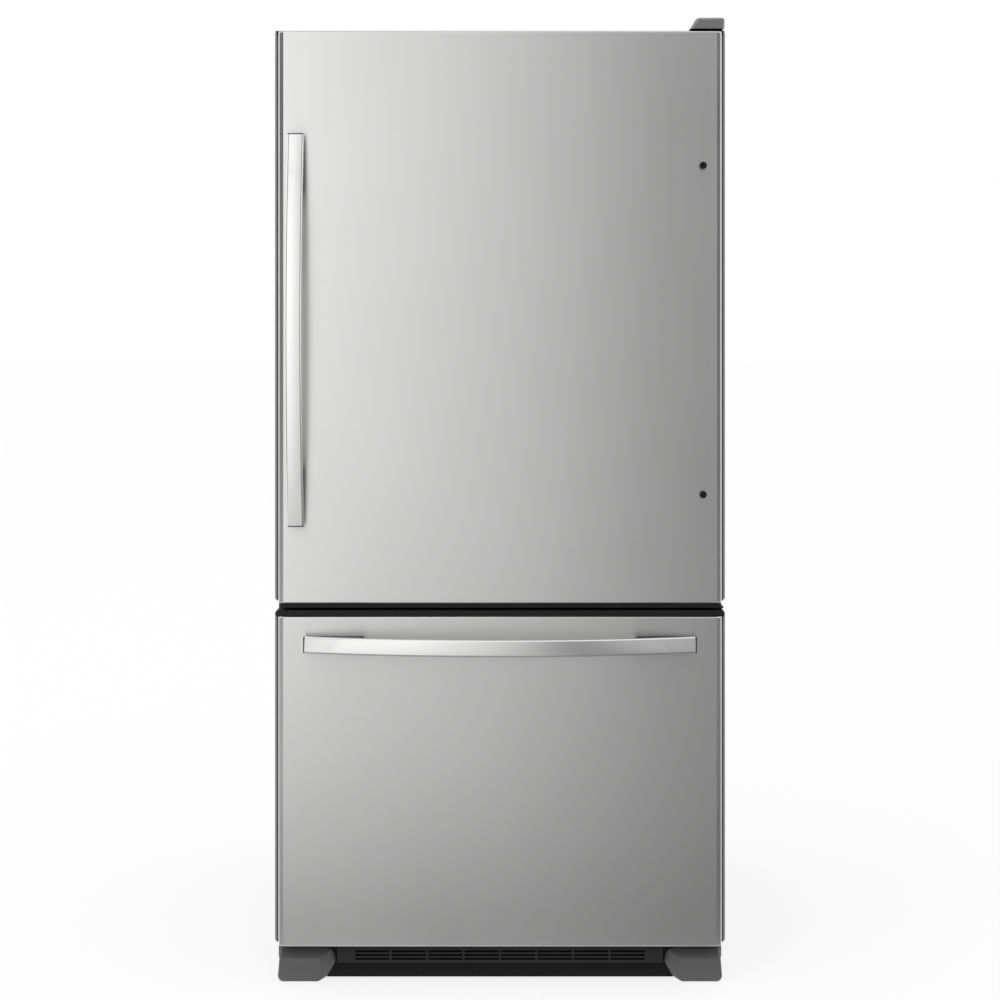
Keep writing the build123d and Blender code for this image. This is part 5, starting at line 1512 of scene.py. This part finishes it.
class ControlsOperator(bpy.types.Operator):
    """Models the control housing, its scales, both knobs, the lamp lens and the light switch"""

    bl_idname = "fridge.controls"
    bl_label = "Controls"

    def execute(self, context):
        softened("control_panel", "control_housing", fitting_white())
        softened("light_switch_button", "switch_plunger", fitting_white(), sizes().fine_round)
        self.lens()
        for name in ("fresh_food_knob", "freezer_knob"):
            self.knob(name)
            self.scale(name)
        return {"FINISHED"}

    def knob(self, node):
        """A turned dial with a tapered finger bar and a dark pointer line."""
        size = sizes()
        low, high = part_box(node)
        middle = (low + high) / 2
        radius = (high.x - low.x) / 2
        face = low.y + size.dial_step
        bm = bmesh.new()
        rim = [
            bm.verts.new((middle.x + out, y, middle.z))
            for out, y in (
                (0.0, high.y),
                (radius, high.y),
                (radius, face + size.dial_round),
                (radius - size.dial_ease, face + size.dial_ease),
                (radius - size.dial_round, face),
                (0.0, face),
            )
        ]
        for pair in zip(rim, rim[1:]):
            bm.edges.new(pair)
        swing(bm, (middle.x, 0.0, middle.z), (0.0, 1.0, 0.0), steps=64)
        half, reach = size.bar_width / 2, radius - size.bar_inset
        lowest = (middle.x - half, low.y, middle.z - reach)
        highest = (middle.x + half, face + size.bar_root, middle.z + reach)
        slab(bm, lowest, highest, half / 2)
        piece(f"{node}_dial", bm, fitting_white(), node, sharp=40.0)
        line_half = 0.75 * size.mark_width
        back = low.y + size.mark_width / 2
        pointer = bmesh.new()
        slab(
            pointer,
            (middle.x - line_half, low.y - size.mark_proud, middle.z + size.pointer_start),
            (middle.x + line_half, back, middle.z + reach - size.pointer_inset),
        )
        piece(f"{node}_pointer", pointer, black_plastic(), node, stands_for=False)

    def scale(self, node):
        """A ring of raised marks round a knob, longer at every second one."""
        size = sizes()
        low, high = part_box(node)
        middle = (low + high) / 2
        half = size.mark_width / 2
        foot = (high.x - low.x) / 2 + size.mark_width
        spot = Matrix.Translation(Vector((middle.x, 0.0, middle.z)))
        bm = bmesh.new()
        for mark in range(MARKS):
            top = foot + (size.short_mark if mark % 2 else size.long_mark)
            made = slab(bm, (-half, high.y, foot), (half, high.y + size.mark_depth, top))
            turn = math.radians(MARKS_SWEEP * (mark / (MARKS - 1) - 0.5))
            bmesh.ops.transform(bm, matrix=spot @ Matrix.Rotation(turn, 4, "Y"), verts=made)
        piece(f"{node}_marks", bm, black_plastic(), "control_housing", stands_for=False)

    def lens(self):
        """A ribbed lens over the lamp."""
        size = sizes()
        low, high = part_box("interior_lamp")
        first = low.x + 2 * size.lens_round
        step = (high.x - low.x - 4 * size.lens_round) / RIBS
        bm = bmesh.new()
        slab(bm, low, high, size.lens_round)
        for rib in range(RIBS + 1):
            cut(bm, (first + step * rib, 0.0, 0.0), (1.0, 0.0, 0.0))
        for vert in bm.verts:
            if vert.co.z < low.z + TOUCH:
                rib = round((vert.co.x - first) / step)
                if 0 < rib < RIBS and rib % 2:
                    vert.co.z += size.rib_depth
        piece("lamp_cover", bm, lamp_lens(), "interior_lamp", sharp=20.0)


# marks round each knob and the degrees that they span, and ribs across the lamp's lens
MARKS = 9
MARKS_SWEEP = 240.0
RIBS = 20


class FridgePanel(bpy.types.Panel):
    """Lists the refrigerator's operators in the sidebar"""

    bl_idname = "VIEW3D_PT_fridge"
    bl_label = "Refrigerator"
    bl_space_type = "VIEW_3D"
    bl_region_type = "UI"
    bl_category = "Refrigerator"

    def draw(self, context):
        for operator in OPERATORS:
            self.layout.operator(operator.bl_idname)
        for group in ("fridge_finishes", "fridge_sizes", "fridge_stage"):
            owner = getattr(context.scene, group)
            for label in owner.__annotations__:
                self.layout.prop(owner, label)


OPERATORS = (
    StageOperator,
    CabinetOperator,
    RearOperator,
    BaseOperator,
    FrontsOperator,
    SealsOperator,
    HingesOperator,
    HandlesOperator,
    ShelvesOperator,
    BinsOperator,
    BasketsOperator,
    ControlsOperator,
)
CLASSES = (FridgeFinishes, FridgeSizes, FridgeStage, *OPERATORS, FridgePanel)


def register():
    for item in CLASSES:
        bpy.utils.register_class(item)
    bpy.types.Scene.fridge_finishes = PointerProperty(type=FridgeFinishes)
    bpy.types.Scene.fridge_sizes = PointerProperty(type=FridgeSizes)
    bpy.types.Scene.fridge_stage = PointerProperty(type=FridgeStage)


def unregister():
    del bpy.types.Scene.fridge_stage
    del bpy.types.Scene.fridge_sizes
    del bpy.types.Scene.fridge_finishes
    for item in reversed(CLASSES):
        bpy.utils.unregister_class(item)


def main():
    register()
    for operator in OPERATORS:
        group, name = operator.bl_idname.split(".")
        getattr(getattr(bpy.ops, group), name)()


if __name__ == "__main__":
    main()
